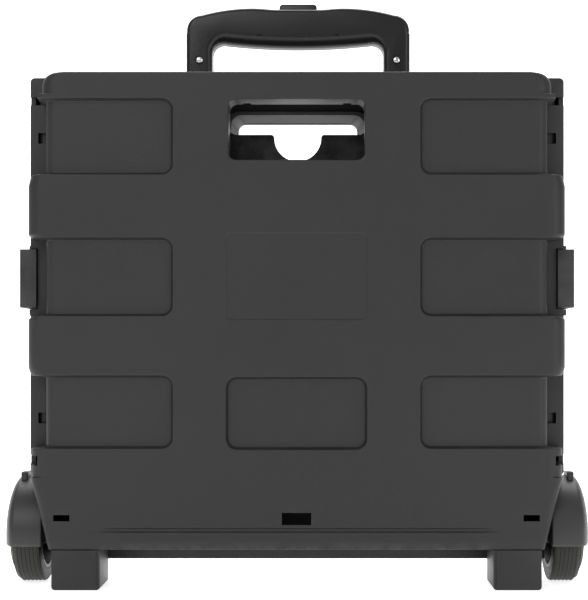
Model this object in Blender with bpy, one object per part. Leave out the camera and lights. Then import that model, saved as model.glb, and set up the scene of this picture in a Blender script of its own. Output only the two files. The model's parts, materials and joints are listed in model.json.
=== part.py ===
"""Folding rolling crate with a telescopic handle, modelled folded flat.

Metres, +Z up. X runs across the crate and the front faces -Y. A depth is measured back
from the front face, and the origin lies on the ground under the middle of the crate.
"""
import math

import bmesh
import bpy
from mathutils import Matrix, Vector

# Fits
GAP = 0.0003
PIN_CLEARANCE = 0.0003

# Main sizes, which the ones below follow
BODY_HALF_WIDTH = 0.2097
BODY_TOP = 0.406
WHEEL_RADIUS = 0.040
PANEL_THICKNESS = 0.008
OUTER_TUBE = (0.020, 0.014)
TUBE_X = 0.0813
FENDER_CLEARANCE = 0.004
FENDER_WALL = 0.0018
AXLE_HEIGHT = WHEEL_RADIUS
FENDER_RADIUS = WHEEL_RADIUS + FENDER_CLEARANCE + FENDER_WALL + 0.0002
FENDER_CLEAR_TOP = AXLE_HEIGHT + FENDER_RADIUS + 0.002
TAPER_TOP = FENDER_CLEAR_TOP + 0.002
BODY_RISE = 0.316


def up(height):
    """A height on the body, moved in proportion when the body is made taller or shorter."""
    return TAPER_TOP + (height - 0.090) * (BODY_TOP - TAPER_TOP) / BODY_RISE


def up_pair(low, high):
    return up(low), up(high)


# Crate body
TOP_BAND_HEIGHT = 0.017
TOP_BAND_HALF_WIDTH = BODY_HALF_WIDTH - 0.0087
TOP_CORNER_RADIUS = 0.010
FACE_CORNER_RADIUS = 0.012
WALL = 0.003
SPLIT_DEPTH = 0.038
RIM_DEPTH = PANEL_THICKNESS + 0.004
RIM_HALF_WIDTH = BODY_HALF_WIDTH + 0.0038
RIM_WALL = 0.0036
BACK_FACE_DEPTH = SPLIT_DEPTH + PANEL_THICKNESS + 0.016
FRONT_BOTTOM = 0.0318
FRONT_BOTTOM_HALF_WIDTH = BODY_HALF_WIDTH - 0.0151
SILL_RIB_HEIGHT = 0.0615
BACK_BOTTOM = AXLE_HEIGHT + 0.0188

# Moulded recesses: columns that wrap round the corners, a low middle one and a blank label
RECESS_DEPTH = 0.0048
RECESS_INNER_X = 0.0965
RECESS_RADIUS = 0.009
SIDE_RECESS_X = BODY_HALF_WIDTH - 0.0117
ROW_FLANGE_EXTRA = 0.0005
RECESS_ROWS = (up_pair(0.1105, 0.1685), up_pair(0.2143, 0.2764), up_pair(0.3251, 0.3857))
MIDDLE_RECESS = (0.0556, *up_pair(0.1097, 0.1673))
LABEL_RECESS = (0.0553, *up_pair(0.2114, 0.2802))
LABEL_DEPTH = 0.0006
LABEL_RADIUS = 0.004

# Hand hole through both shells
HAND_HALF_WIDTH = 0.0535
HAND_BOTTOM = BODY_TOP - 0.069
HAND_TOP = BODY_TOP - 0.0215
HAND_RADIUS = 0.0063
HAND_COLLAR_DEPTH = 0.025
BACK_HAND_HALF_WIDTH = 0.0488
BACK_HAND_TOP = BODY_TOP - 0.032

# Small openings of the front shell
SLOT_X = BODY_HALF_WIDTH - 0.0257
SLOT_HALF_WIDTH = 0.0064
SLOT_HEIGHTS = (0.054, 0.059)
MIDDLE_SLOT_HALF_WIDTH = 0.0115
MIDDLE_SLOT_HEIGHTS = (0.051, 0.0607)
GROOVE_HALF_WIDTH = BODY_HALF_WIDTH - 0.0237
GROOVE_HEIGHTS = (0.045, 0.049)
GROOVE_DEPTH = 0.0012
WINDOW_X = (BODY_HALF_WIDTH - 0.0105, BODY_HALF_WIDTH - 0.0025)
WINDOW_HEIGHTS = (up_pair(0.1295, 0.1381), up_pair(0.3533, 0.3619))
PEEP_X = BODY_HALF_WIDTH - 0.0067
PEEP_HEIGHTS = ((TAPER_TOP + 0.0075, TAPER_TOP + 0.015), (BODY_TOP - 0.022, BODY_TOP - 0.0155))

# Side panels and their hinges
HINGE_X = BODY_HALF_WIDTH - 0.0062
HINGE_OFFSET = 0.0045
HINGE_PIN_RADIUS = 0.0018
HINGE_BARREL_RADIUS = 0.0039
HINGE_ARM_HALF = 0.0037
LUG_BOTTOM = (FENDER_CLEAR_TOP + 0.0015, FENDER_CLEAR_TOP + 0.0105)
LUG_MIDDLE = up_pair(0.290, 0.304)
LUG_TOP = (BODY_TOP - 0.013, BODY_TOP - 0.0045)
PANEL_REACH = HINGE_X - 0.0655
PANEL_BOTTOM = BACK_BOTTOM + 0.0072
PANEL_TOP = BODY_TOP - 0.014
POCKET_SKIN = 0.0028
POCKET_RIB = 0.0035
POCKET_MARGIN = 0.010
SIDE_POCKETS = (2, 4)
BASE_POCKETS = (4, 3)
MID_PIN_RADIUS = 0.0015
MID_BARREL_RADIUS = 0.0036
MID_KNUCKLES = 6
KNUCKLE_GAP = 0.0006
MID_EDGE_ROOM = 0.0019

# Base panel, folded up against the back
BASE_HALF_WIDTH = BODY_HALF_WIDTH - 0.0197
BASE_DEPTHS = (SPLIT_DEPTH + PANEL_THICKNESS + 0.0025, SPLIT_DEPTH + PANEL_THICKNESS + 0.011)
BASE_BOTTOM = BACK_BOTTOM + 0.0034
BASE_TOP = BODY_TOP - 0.042
BASE_PIN_RADIUS = 0.002
BASE_PIN_HEIGHT = BACK_BOTTOM + 0.008
FINGER_NOTCH_RADIUS = 0.0192
FINGER_NOTCH_SINK = 0.0025

# Feet
FOOT_X = BODY_HALF_WIDTH - 0.0367
FOOT_WIDTH = 0.038
FOOT_LENGTH = 0.045
FOOT_RADIUS = 0.002

# Wheels, axle and fenders
AXLE_DEPTH = FENDER_RADIUS + 0.008
AXLE_RADIUS = 0.004
FENDER_INNER_X = BODY_HALF_WIDTH - 0.0082
WHEEL_INNER_X = FENDER_INNER_X + 0.0027
WHEEL_OUTER_X = WHEEL_INNER_X + 0.0283
DOME_LENGTH = 0.010
RIM_RADIUS = WHEEL_RADIUS * 0.75
HUB_BOSS_RADIUS = 0.010
HUB_POCKET_RADIUS = 0.0088
NUT_RADIUS = 0.008
NUT_LENGTH = 0.009
NUT_CROWN = (0.0012, 0.0056)
FENDER_OUTER_X = WHEEL_OUTER_X + 0.003
TAB_X = FENDER_OUTER_X - 0.0145
TAB_HALF_WIDTH = 0.0027
TAB_FRONT = 0.016
TAB_HEIGHT = 0.0036
FENDER_FRONT_EDGE = AXLE_HEIGHT - 0.007
FENDER_REAR_EDGE = AXLE_HEIGHT - 0.0005
BEAM_DEPTHS = (AXLE_DEPTH - 0.0074, AXLE_DEPTH + 0.014)
BEAM_BOTTOM = AXLE_HEIGHT - 0.022
BEAM_HALF_WIDTH = FENDER_INNER_X - GAP

# Telescopic handle
TUBE_DEPTH = BACK_FACE_DEPTH + 0.009
TUBE_WALL = 0.0014
TUBE_RADIUS = 0.0035
OUTER_TUBE_HEIGHTS = (BACK_BOTTOM + 0.0032, BODY_TOP - 0.004)
MID_TUBE_HEIGHTS = (BACK_BOTTOM + 0.0072, BODY_TOP + 0.003)
INNER_TUBE_HEIGHTS = (BACK_BOTTOM + 0.0112, BODY_TOP + 0.040)
COLLAR_WALL = 0.0016
COLLAR_HEIGHT = 0.013
COLLAR_LIP = 0.003
MID_COLLAR_HEIGHT = 0.0052
PLUG_HEIGHT = 0.016
PLUG_RADIUS = 0.0012
CLAMP_HALF_WIDTH = TUBE_X + OUTER_TUBE[0] / 2 + 0.0087
CLAMP_HEIGHT = 0.020
CLAMP_BOTTOMS = (BACK_BOTTOM + 0.0252, BODY_TOP - 0.096)
CLAMP_REAR = BACK_FACE_DEPTH + 0.020
CLAMP_WAIST = 0.005
SCREW_X = 0.045
SCREW_RADIUS = 0.002
SCREW_HEAD_RADIUS = 0.0042
SCREW_HEAD_HEIGHT = 0.0022

# Grip, release button and its linkage
GRIP_HALF_WIDTH = TUBE_X + OUTER_TUBE[0] / 2 + 0.0011
GRIP_LEG_INNER_X = TUBE_X - OUTER_TUBE[0] / 2 - 0.0005
GRIP_BOTTOM = BODY_TOP + 0.0055
GRIP_END_TOP = BODY_TOP + 0.0595
GRIP_TOP = BODY_TOP + 0.0652
GRIP_UNDERSIDE = BODY_TOP + 0.0322
GRIP_SHOULDER = BODY_TOP + 0.0357
GRIP_DEPTH = 0.022
GRIP_CORNER_RADIUS = 0.012
GRIP_SCREW_HEIGHT = BODY_TOP + 0.0215
GRIP_SCREW_RADIUS = 0.0015
GRIP_SCREW_HEAD_RADIUS = 0.0028
CHANNEL_HEIGHTS = (BODY_TOP + 0.0402, BODY_TOP + 0.0572)
CHANNEL_HALF_WIDTH = GRIP_HALF_WIDTH - 0.0042
CHANNEL_DEPTH = 0.0042
BUTTON_HALF_WIDTH = 0.0155
BUTTON_HALF_DEPTH = 0.0057
BUTTON_TOP = BODY_TOP + 0.069
BUTTON_TRAVEL = 0.004
BAR_HEIGHTS = (BODY_TOP + 0.0455, BODY_TOP + 0.051)
BAR_HALF_DEPTH = 0.0022
ROD_RADIUS = 0.0012
ROD_OFFSET = OUTER_TUBE[0] / 2 - 0.0064
ROD_BOTTOM = BACK_BOTTOM + 0.0172
SPRING_RADIUS = 0.0027
SPRING_WIRE = 0.00045
SPRING_TURNS = 3

# Side latches
LATCH_HEIGHTS = (up(0.222), up(0.222) + 0.0465)
LATCH_PIN_X = BODY_HALF_WIDTH + 0.0073
LATCH_PIN_DEPTH = BACK_FACE_DEPTH - 0.004
LATCH_PIN_RADIUS = 0.0015
LATCH_BARREL_RADIUS = 0.0035
LATCH_OUTER_X = BODY_HALF_WIDTH + 0.0113
LATCH_PLATE = 0.003
LATCH_LIP_X = BODY_HALF_WIDTH - 0.0017
LATCH_LIP_DEPTHS = (SPLIT_DEPTH - PANEL_THICKNESS - 0.0085, SPLIT_DEPTH - PANEL_THICKNESS - 0.0043)
LATCH_LUG_HEIGHT = 0.005

# Worked out from the sizes above
OVERALL_DEPTH = AXLE_DEPTH + FENDER_RADIUS
FENDER_SIDE_CLEAR_X = FENDER_INNER_X - 0.0022
MID_X = HINGE_X - PANEL_REACH
LID_GAP = 2 * GAP
REAR_HINGE_DEPTH = SPLIT_DEPTH + HINGE_OFFSET
FRONT_HINGE_DEPTH = SPLIT_DEPTH - HINGE_OFFSET
FAR = 0.06
OUTSIDE = BODY_HALF_WIDTH + FAR

FINISHES = {
    "crate": ((0.052, 0.055, 0.054), 0.52, 0.0),
    "panel": ((0.040, 0.042, 0.041), 0.58, 0.0),
    "grip": ((0.030, 0.032, 0.031), 0.38, 0.0),
    "tyre": ((0.048, 0.050, 0.047), 0.62, 0.0),
    "steel": ((0.62, 0.63, 0.64), 0.30, 1.0),
    "tube": ((0.66, 0.67, 0.68), 0.34, 1.0),
}


def clear_scene():
    for obj in list(bpy.data.objects):
        bpy.data.objects.remove(obj, do_unlink=True)


def at(x, depth, z):
    """World point for a place across, back from the front face, and up."""
    return Vector((x, depth - OVERALL_DEPTH / 2, z))


def add_object(name, bm):
    bmesh.ops.recalc_face_normals(bm, faces=bm.faces)
    mesh = bpy.data.meshes.new(name)
    bm.to_mesh(mesh)
    bm.free()
    obj = bpy.data.objects.new(name, mesh)
    bpy.context.scene.collection.objects.link(obj)
    return obj


def block(name, x, depth, z):
    """Box between two limits each way, in any order."""
    low = at(min(x), min(depth), min(z))
    high = at(max(x), max(depth), max(z))
    bm = bmesh.new()
    size = Matrix.Diagonal((high - low).to_4d())
    bmesh.ops.create_cube(bm, size=1.0, matrix=Matrix.Translation((low + high) / 2) @ size)
    return add_object(name, bm)


def rounded(u, v, radius, steps=4):
    """Outline of a rectangle with round corners."""
    u = (min(u), max(u))
    v = (min(v), max(v))
    points = []
    corners = ((u[1], v[1], 0), (u[0], v[1], 1), (u[0], v[0], 2), (u[1], v[0], 3))
    for corner_u, corner_v, quarter in corners:
        centre_u = corner_u - math.copysign(radius, corner_u - sum(u) / 2)
        centre_v = corner_v - math.copysign(radius, corner_v - sum(v) / 2)
        for step in range(steps + 1):
            angle = (quarter + step / steps) * math.pi / 2
            points.append((centre_u + radius * math.cos(angle), centre_v + radius * math.sin(angle)))
    return points


def prism(name, outline, axis, limits):
    """Outline swept straight along an axis: (x, depth), (x, z) or (depth, z) points."""
    place = {
        "z": lambda u, v, w: at(u, v, w),
        "y": lambda u, v, w: at(u, w, v),
        "x": lambda u, v, w: at(w, u, v),
    }[axis]
    bm = bmesh.new()
    face = bm.faces.new([bm.verts.new(place(u, v, limits[0])) for u, v in outline])
    swept = bmesh.ops.extrude_face_region(bm, geom=[face])["geom"]
    shift = place(0, 0, limits[1]) - place(0, 0, limits[0])
    moved = [item for item in swept if isinstance(item, bmesh.types.BMVert)]
    bmesh.ops.translate(bm, verts=moved, vec=shift)
    return add_object(name, bm)


def rod(name, axis, centre, limits, radius, segments=16):
    """Round bar along an axis; centre is given as for a prism's outline."""
    step = 2 * math.pi / segments
    outline = [
        (centre[0] + radius * math.cos(step * k), centre[1] + radius * math.sin(step * k))
        for k in range(segments)
    ]
    return prism(name, outline, axis, limits)


def turned(name, profile, side, segments=28):
    """Closed profile of (x, radius) points turned about the wheel axle."""
    bm = bmesh.new()
    verts = [bm.verts.new(at(side * x, AXLE_DEPTH, AXLE_HEIGHT + r)) for x, r in profile]
    for here, following in zip(verts, verts[1:] + verts[:1]):
        if here.co.z > AXLE_HEIGHT or following.co.z > AXLE_HEIGHT:
            bm.edges.new((here, following))
    bmesh.ops.spin(
        bm, geom=bm.verts[:] + bm.edges[:], cent=at(0, AXLE_DEPTH, AXLE_HEIGHT),
        axis=(1, 0, 0), angle=2 * math.pi, steps=segments, use_merge=True,
    )
    bmesh.ops.remove_doubles(bm, verts=bm.verts, dist=1e-6)
    return add_object(name, bm)


def combine(target, operation, others):
    """Join, cut or intersect the target with each of the others, which are used up."""
    for other in others:
        modifier = target.modifiers.new(operation, "BOOLEAN")
        modifier.operation = operation
        modifier.object = other
    shaped = target.evaluated_get(bpy.context.evaluated_depsgraph_get())
    mesh = bpy.data.meshes.new_from_object(shaped)
    target.modifiers.clear()
    target.data = mesh
    mesh.name = target.name
    for other in others:
        bpy.data.objects.remove(other, do_unlink=True)
    return target


def join(target, others):
    return combine(target, "UNION", others)


def cut(target, others):
    return combine(target, "DIFFERENCE", others)


def finish(obj, look, smooth=False):
    """Give the piece its own material."""
    colour, roughness, metallic = FINISHES[look]
    material = bpy.data.materials.new(obj.name)
    material.use_nodes = True
    shader = material.node_tree.nodes["Principled BSDF"]
    shader.inputs["Base Color"].default_value = (*colour, 1.0)
    shader.inputs["Roughness"].default_value = roughness
    shader.inputs["Metallic"].default_value = metallic
    obj.data.materials.clear()
    obj.data.materials.append(material)
    if smooth:
        obj.data.shade_smooth()
        obj.data.set_sharp_from_angle(angle=math.radians(35))
    return obj


def pivot(name, location, parent=None):
    """Empty on a joint's axis, which carries that body's pieces."""
    empty = bpy.data.objects.new(name + "_pivot", None)
    bpy.context.scene.collection.objects.link(empty)
    empty["place"] = location
    empty.location = location
    if parent:
        empty.parent = parent
        empty.location = location - Vector(parent["place"])
    return empty


def carry(empty, pieces):
    """Hang pieces on a pivot without moving them."""
    for obj in pieces:
        obj.data.transform(Matrix.Translation(-Vector(empty["place"])))
        obj.parent = empty


def side_name(side):
    return "left" if side < 0 else "right"


def both_sides(make):
    """Run a maker for the left and the right, and gather what it returns."""
    return [item for side in (-1, 1) for item in make(side)]


# ---- the two crate shells

def face_outline(bottom, bottom_half_width, taper_top):
    """Face outline of a shell, closed along the bottom and round at the top corners."""
    band = BODY_TOP - TOP_BAND_HEIGHT
    half = [(bottom_half_width, bottom), (BODY_HALF_WIDTH, taper_top), (BODY_HALF_WIDTH, band)]
    half.append((TOP_BAND_HALF_WIDTH, band))
    for step in range(5):
        angle = step / 4 * math.pi / 2
        x = TOP_BAND_HALF_WIDTH - TOP_CORNER_RADIUS * (1 - math.cos(angle))
        half.append((x, BODY_TOP - TOP_CORNER_RADIUS * (1 - math.sin(angle))))
    return half + [(-x, z) for x, z in reversed(half)]


def shell_blank(name, outline, face, inner):
    """Solid block of a shell, with its two upright face corners rounded."""
    blank = prism(name, outline, "y", (face, inner))
    inward = math.copysign(1, inner - face)
    reach = BODY_HALF_WIDTH
    plan = [(-reach, inner + inward * WALL), (reach, inner + inward * WALL)]
    for step in range(6):
        angle = step / 5 * math.pi / 2
        x = reach - FACE_CORNER_RADIUS * (1 - math.cos(angle))
        plan.append((x, face + inward * FACE_CORNER_RADIUS * (1 - math.sin(angle))))
    for x, depth in reversed(plan[2:]):
        plan.append((-x, depth))
    rounding = prism(name + "_plan", plan, "z", (-FAR, BODY_TOP + FAR))
    return combine(blank, "INTERSECT", [rounding])


def add_rim(shell, face, inner):
    """Wider frame round the shell's open side, where the panels hinge."""
    inward = math.copysign(1, inner - face)
    start = inner - inward * RIM_DEPTH
    outline = rounded((-RIM_HALF_WIDTH, RIM_HALF_WIDTH), (FENDER_CLEAR_TOP - 2 * WALL, BODY_TOP), WALL)
    return join(shell, [prism("rim", outline, "y", (start, inner))])


def hollow(shell, face, inner, bottom):
    """Open the shell from its inner side: the main space and the wider one in the rim."""
    inward = math.copysign(1, inner - face)
    past = inner + inward * FAR
    roof = BODY_TOP - WALL
    inside = BODY_HALF_WIDTH - WALL
    low_inside = FENDER_SIDE_CLEAR_X - WALL
    rim_start = inner - inward * (RIM_DEPTH - WALL)
    rim_inside = RIM_HALF_WIDTH - RIM_WALL
    floor = face + inward * WALL
    top_inside = TOP_BAND_HALF_WIDTH - WALL
    band = BODY_TOP - TOP_BAND_HEIGHT - WALL
    cutters = [
        block("low_space", (-low_inside, low_inside), (floor, past), (bottom, TAPER_TOP + WALL)),
        block("space", (-inside, inside), (floor, past), (TAPER_TOP + 2 * WALL, band)),
        block("top_space", (-top_inside, top_inside), (floor, past), (TAPER_TOP, roof)),
        block("rim_space", (-rim_inside, rim_inside), (rim_start, past), (FENDER_CLEAR_TOP + WALL, roof)),
    ]
    return cut(shell, cutters)


def clear_fenders(shell, near, far):
    """Keep a shell's lower sides inside the fenders."""
    return cut(shell, [
        block("fender_room", (side * FENDER_SIDE_CLEAR_X, side * OUTSIDE), (near, far), (-FAR, FENDER_CLEAR_TOP))
        for side in (-1, 1)
    ])


def side_recess_walls(face, inner):
    """Material left behind the recesses that wrap round the sides."""
    inward = math.copysign(1, inner - face)
    flange = inner - inward * (RIM_DEPTH - WALL - ROW_FLANGE_EXTRA)
    blocks = []
    for side in (-1, 1):
        for low, high in RECESS_ROWS:
            x = (side * (SIDE_RECESS_X - WALL), side * (BODY_HALF_WIDTH - WALL / 2))
            z = (low - WALL, high + WALL)
            blocks.append(block("row_wall", x, (face + inward * WALL / 2, flange), z))
    return blocks


def side_recess_cuts(face, inner):
    inward = math.copysign(1, inner - face)
    flange = inner - inward * RIM_DEPTH
    cutters = []
    for side in (-1, 1):
        for row in RECESS_ROWS:
            x = (side * SIDE_RECESS_X, side * OUTSIDE)
            cutters.append(block("row_side", x, (face - inward * FAR, flange), row))
    return cutters


def lug_outline(side, depth):
    """Plan of a lug: round towards the panel, and square out to the rim."""
    radius = HINGE_BARREL_RADIUS
    points = []
    for step in range(7):
        angle = math.pi * (0.5 + step / 6)
        points.append((side * (HINGE_X + radius * math.cos(angle)), depth + radius * math.sin(angle)))
    root = side * (RIM_HALF_WIDTH - RIM_WALL / 2)
    return points + [(root, depth - radius), (root, depth + radius)]


def hinge_lugs(depth):
    """Lugs that hold a hinge pin, tied to the rim beside them."""
    return [
        prism("lug", lug_outline(side, depth), "z", limits)
        for side in (-1, 1) for limits in (LUG_BOTTOM, LUG_MIDDLE, LUG_TOP)
    ]


def hinge_bores(depth):
    bore = HINGE_PIN_RADIUS + PIN_CLEARANCE
    limits = (LUG_BOTTOM[0] - GAP, LUG_TOP[1] - WALL / 2)
    return [rod("bore", "z", (side * HINGE_X, depth), limits, bore, 12) for side in (-1, 1)]


def hand_hole(near, far, half_width, top, margin=0.0):
    x = (-half_width - margin, half_width + margin)
    outline = rounded(x, (HAND_BOTTOM - margin, top + margin), HAND_RADIUS + margin)
    return prism("hand_hole", outline, "y", (near, far))


def face_recesses():
    """Backing walls and cutters for the recesses in the front face."""
    backs = []
    cutters = []
    backing = (WALL / 2, RECESS_DEPTH + WALL)
    for side in (-1, 1):
        for low, high in RECESS_ROWS:
            x = (side * (RECESS_INNER_X - WALL), side * SIDE_RECESS_X)
            backs.append(block("row_back", x, backing, (low - WALL, high + WALL)))
            x = (side * RECESS_INNER_X, side * OUTSIDE)
            outline = rounded(x, (low, high), RECESS_RADIUS)
            cutters.append(prism("row", outline, "y", (-FAR, RECESS_DEPTH)))
    half, low, high = MIDDLE_RECESS
    backs.append(block("mid_back", (-half - WALL, half + WALL), backing, (low - WALL, high + WALL)))
    outline = rounded((-half, half), (low, high), RECESS_RADIUS)
    cutters.append(prism("mid_row", outline, "y", (-FAR, RECESS_DEPTH)))
    half, low, high = LABEL_RECESS
    outline = rounded((-half, half), (low, high), LABEL_RADIUS)
    cutters.append(prism("label", outline, "y", (-FAR, LABEL_DEPTH)))
    return backs, cutters


def front_small_cuts():
    """Slots and groove along the sill, and the small openings by the hinges."""
    through = (-FAR, WALL + GAP)
    half = MIDDLE_SLOT_HALF_WIDTH
    cutters = [
        block("middle_slot", (-half, half), through, MIDDLE_SLOT_HEIGHTS),
        block("groove", (-GROOVE_HALF_WIDTH, GROOVE_HALF_WIDTH), (-FAR, GROOVE_DEPTH), GROOVE_HEIGHTS),
    ]
    flange = SPLIT_DEPTH - GAP - RIM_DEPTH
    for side in (-1, 1):
        x = (side * (SLOT_X - SLOT_HALF_WIDTH), side * (SLOT_X + SLOT_HALF_WIDTH))
        cutters.append(block("slot", x, through, SLOT_HEIGHTS))
        for heights in WINDOW_HEIGHTS:
            x = (side * WINDOW_X[0], side * WINDOW_X[1])
            cutters.append(block("window", x, (flange - WALL, flange + 2 * WALL), heights))
        for heights in PEEP_HEIGHTS:
            x = (side * PEEP_X, side * OUTSIDE)
            cutters.append(block("peep", x, (-FAR, flange + WALL + GAP), heights))
        x = (side * (LATCH_LIP_X - LID_GAP), side * OUTSIDE)
        latch_room = (LATCH_HEIGHTS[0] - 3 * GAP, LATCH_HEIGHTS[1] + 3 * GAP)
        cutters.append(block("latch_room", x, (-FAR, SPLIT_DEPTH + FAR), latch_room))
    return cutters


def make_front_shell():
    inner = SPLIT_DEPTH - GAP
    outline = face_outline(FRONT_BOTTOM, FRONT_BOTTOM_HALF_WIDTH, TAPER_TOP)
    shell = shell_blank("front_shell", outline, 0.0, inner)
    add_rim(shell, 0.0, inner)
    hollow(shell, 0.0, inner, SILL_RIB_HEIGHT + WALL)
    clear_fenders(shell, AXLE_DEPTH - FENDER_RADIUS - GAP, FAR)
    sill = FRONT_BOTTOM_HALF_WIDTH - WALL
    cut(shell, [block("sill", (-sill, sill), (WALL, FAR), (FRONT_BOTTOM + WALL, SILL_RIB_HEIGHT))])
    backs, cutters = face_recesses()
    backs += side_recess_walls(0.0, inner)
    backs.append(hand_hole(WALL / 2, HAND_COLLAR_DEPTH, HAND_HALF_WIDTH, HAND_TOP, WALL))
    join(shell, backs + hinge_lugs(FRONT_HINGE_DEPTH))
    cutters += side_recess_cuts(0.0, inner)
    cutters += hinge_bores(FRONT_HINGE_DEPTH)
    cutters.append(hand_hole(-FAR, FAR, HAND_HALF_WIDTH, HAND_TOP))
    cut(shell, cutters + front_small_cuts())
    return finish(shell, "crate", smooth=True)


def latch_lugs():
    """Ears on the back shell above and below each latch."""
    lugs = []
    reach = LATCH_BARREL_RADIUS
    for side in (-1, 1):
        for end, way in ((LATCH_HEIGHTS[0] - GAP, -1), (LATCH_HEIGHTS[1] + GAP, 1)):
            x = (side * (BODY_HALF_WIDTH - WALL / 2), side * (LATCH_PIN_X + reach))
            depth = (LATCH_PIN_DEPTH - reach, LATCH_PIN_DEPTH + reach)
            lugs.append(block("ear", x, depth, (end, end + way * LATCH_LUG_HEIGHT)))
    return lugs


def latch_pin_limits():
    """Ends of the latch pin, flush with the ears."""
    reach = LATCH_LUG_HEIGHT + GAP
    return (LATCH_HEIGHTS[0] - reach, LATCH_HEIGHTS[1] + reach)


def base_pin_lugs():
    depth = (BASE_DEPTHS[0], BACK_FACE_DEPTH - WALL / 2)
    z = (BACK_BOTTOM + WALL / 2, BASE_PIN_HEIGHT + 2 * BASE_PIN_RADIUS)
    edge = FENDER_SIDE_CLEAR_X - WALL / 2
    return [block("base_lug", (side * (BASE_HALF_WIDTH + GAP), side * edge), depth, z) for side in (-1, 1)]


def base_pin_depth():
    return sum(BASE_DEPTHS) / 2


def screw_places():
    """Clamp screws: (x, height) pairs."""
    heights = [bottom + CLAMP_HEIGHT / 2 for bottom in CLAMP_BOTTOMS]
    return [(side * SCREW_X, height) for height in heights for side in (-1, 1)]


def make_back_shell():
    inner = SPLIT_DEPTH + GAP
    outline = face_outline(BACK_BOTTOM, FENDER_SIDE_CLEAR_X, BACK_BOTTOM + WALL)
    shell = shell_blank("back_shell", outline, BACK_FACE_DEPTH, inner)
    add_rim(shell, BACK_FACE_DEPTH, inner)
    hollow(shell, BACK_FACE_DEPTH, inner, BACK_BOTTOM + WALL)
    clear_fenders(shell, 0.0, BACK_FACE_DEPTH + FAR)
    parts = side_recess_walls(BACK_FACE_DEPTH, inner) + hinge_lugs(REAR_HINGE_DEPTH)
    join(shell, parts + latch_lugs() + base_pin_lugs())
    cutters = side_recess_cuts(BACK_FACE_DEPTH, inner) + hinge_bores(REAR_HINGE_DEPTH)
    reach = (BACK_FACE_DEPTH - 2 * WALL, BACK_FACE_DEPTH + FAR)
    cutters.append(hand_hole(*reach, BACK_HAND_HALF_WIDTH, BACK_HAND_TOP))
    bore = LATCH_PIN_RADIUS + PIN_CLEARANCE
    ends = latch_pin_limits()
    for side in (-1, 1):
        centre = (side * LATCH_PIN_X, LATCH_PIN_DEPTH)
        cutters.append(rod("latch_bore", "z", centre, (ends[0] - GAP, ends[1] + GAP), bore, 12))
    edge = FENDER_SIDE_CLEAR_X - WALL
    bore = BASE_PIN_RADIUS + PIN_CLEARANCE
    cutters.append(rod("base_bore", "x", (base_pin_depth(), BASE_PIN_HEIGHT), (-edge, edge), bore, 12))
    for place in screw_places():
        bore = SCREW_RADIUS + PIN_CLEARANCE
        cutters.append(rod("screw_hole", "y", place, (BACK_FACE_DEPTH - 2 * WALL, FAR * 2), bore, 12))
    cut(shell, cutters)
    return finish(shell, "crate", smooth=True)


# ---- side panels, which fold between the shells

def knuckle_heights(own):
    """Height limits of one panel's share of the middle hinge's knuckles."""
    length = (PANEL_TOP - PANEL_BOTTOM) / MID_KNUCKLES
    limits = []
    for k in range(own, MID_KNUCKLES, 2):
        low = PANEL_BOTTOM + k * length
        limits.append((low + KNUCKLE_GAP / 2, low + length - KNUCKLE_GAP / 2))
    return limits


def pockets(x, z, depth, counts):
    """Grid of pockets that lightens a panel and leaves its skin and ribs."""
    cutters = []
    step_x = (x[1] - x[0] + POCKET_RIB) / counts[0]
    step_z = (z[1] - z[0] + POCKET_RIB) / counts[1]
    for i in range(counts[0]):
        for k in range(counts[1]):
            across = (x[0] + i * step_x, x[0] + (i + 1) * step_x - POCKET_RIB)
            up = (z[0] + k * step_z, z[0] + (k + 1) * step_z - POCKET_RIB)
            cutters.append(block("pocket", across, depth, up))
    return cutters


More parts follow.
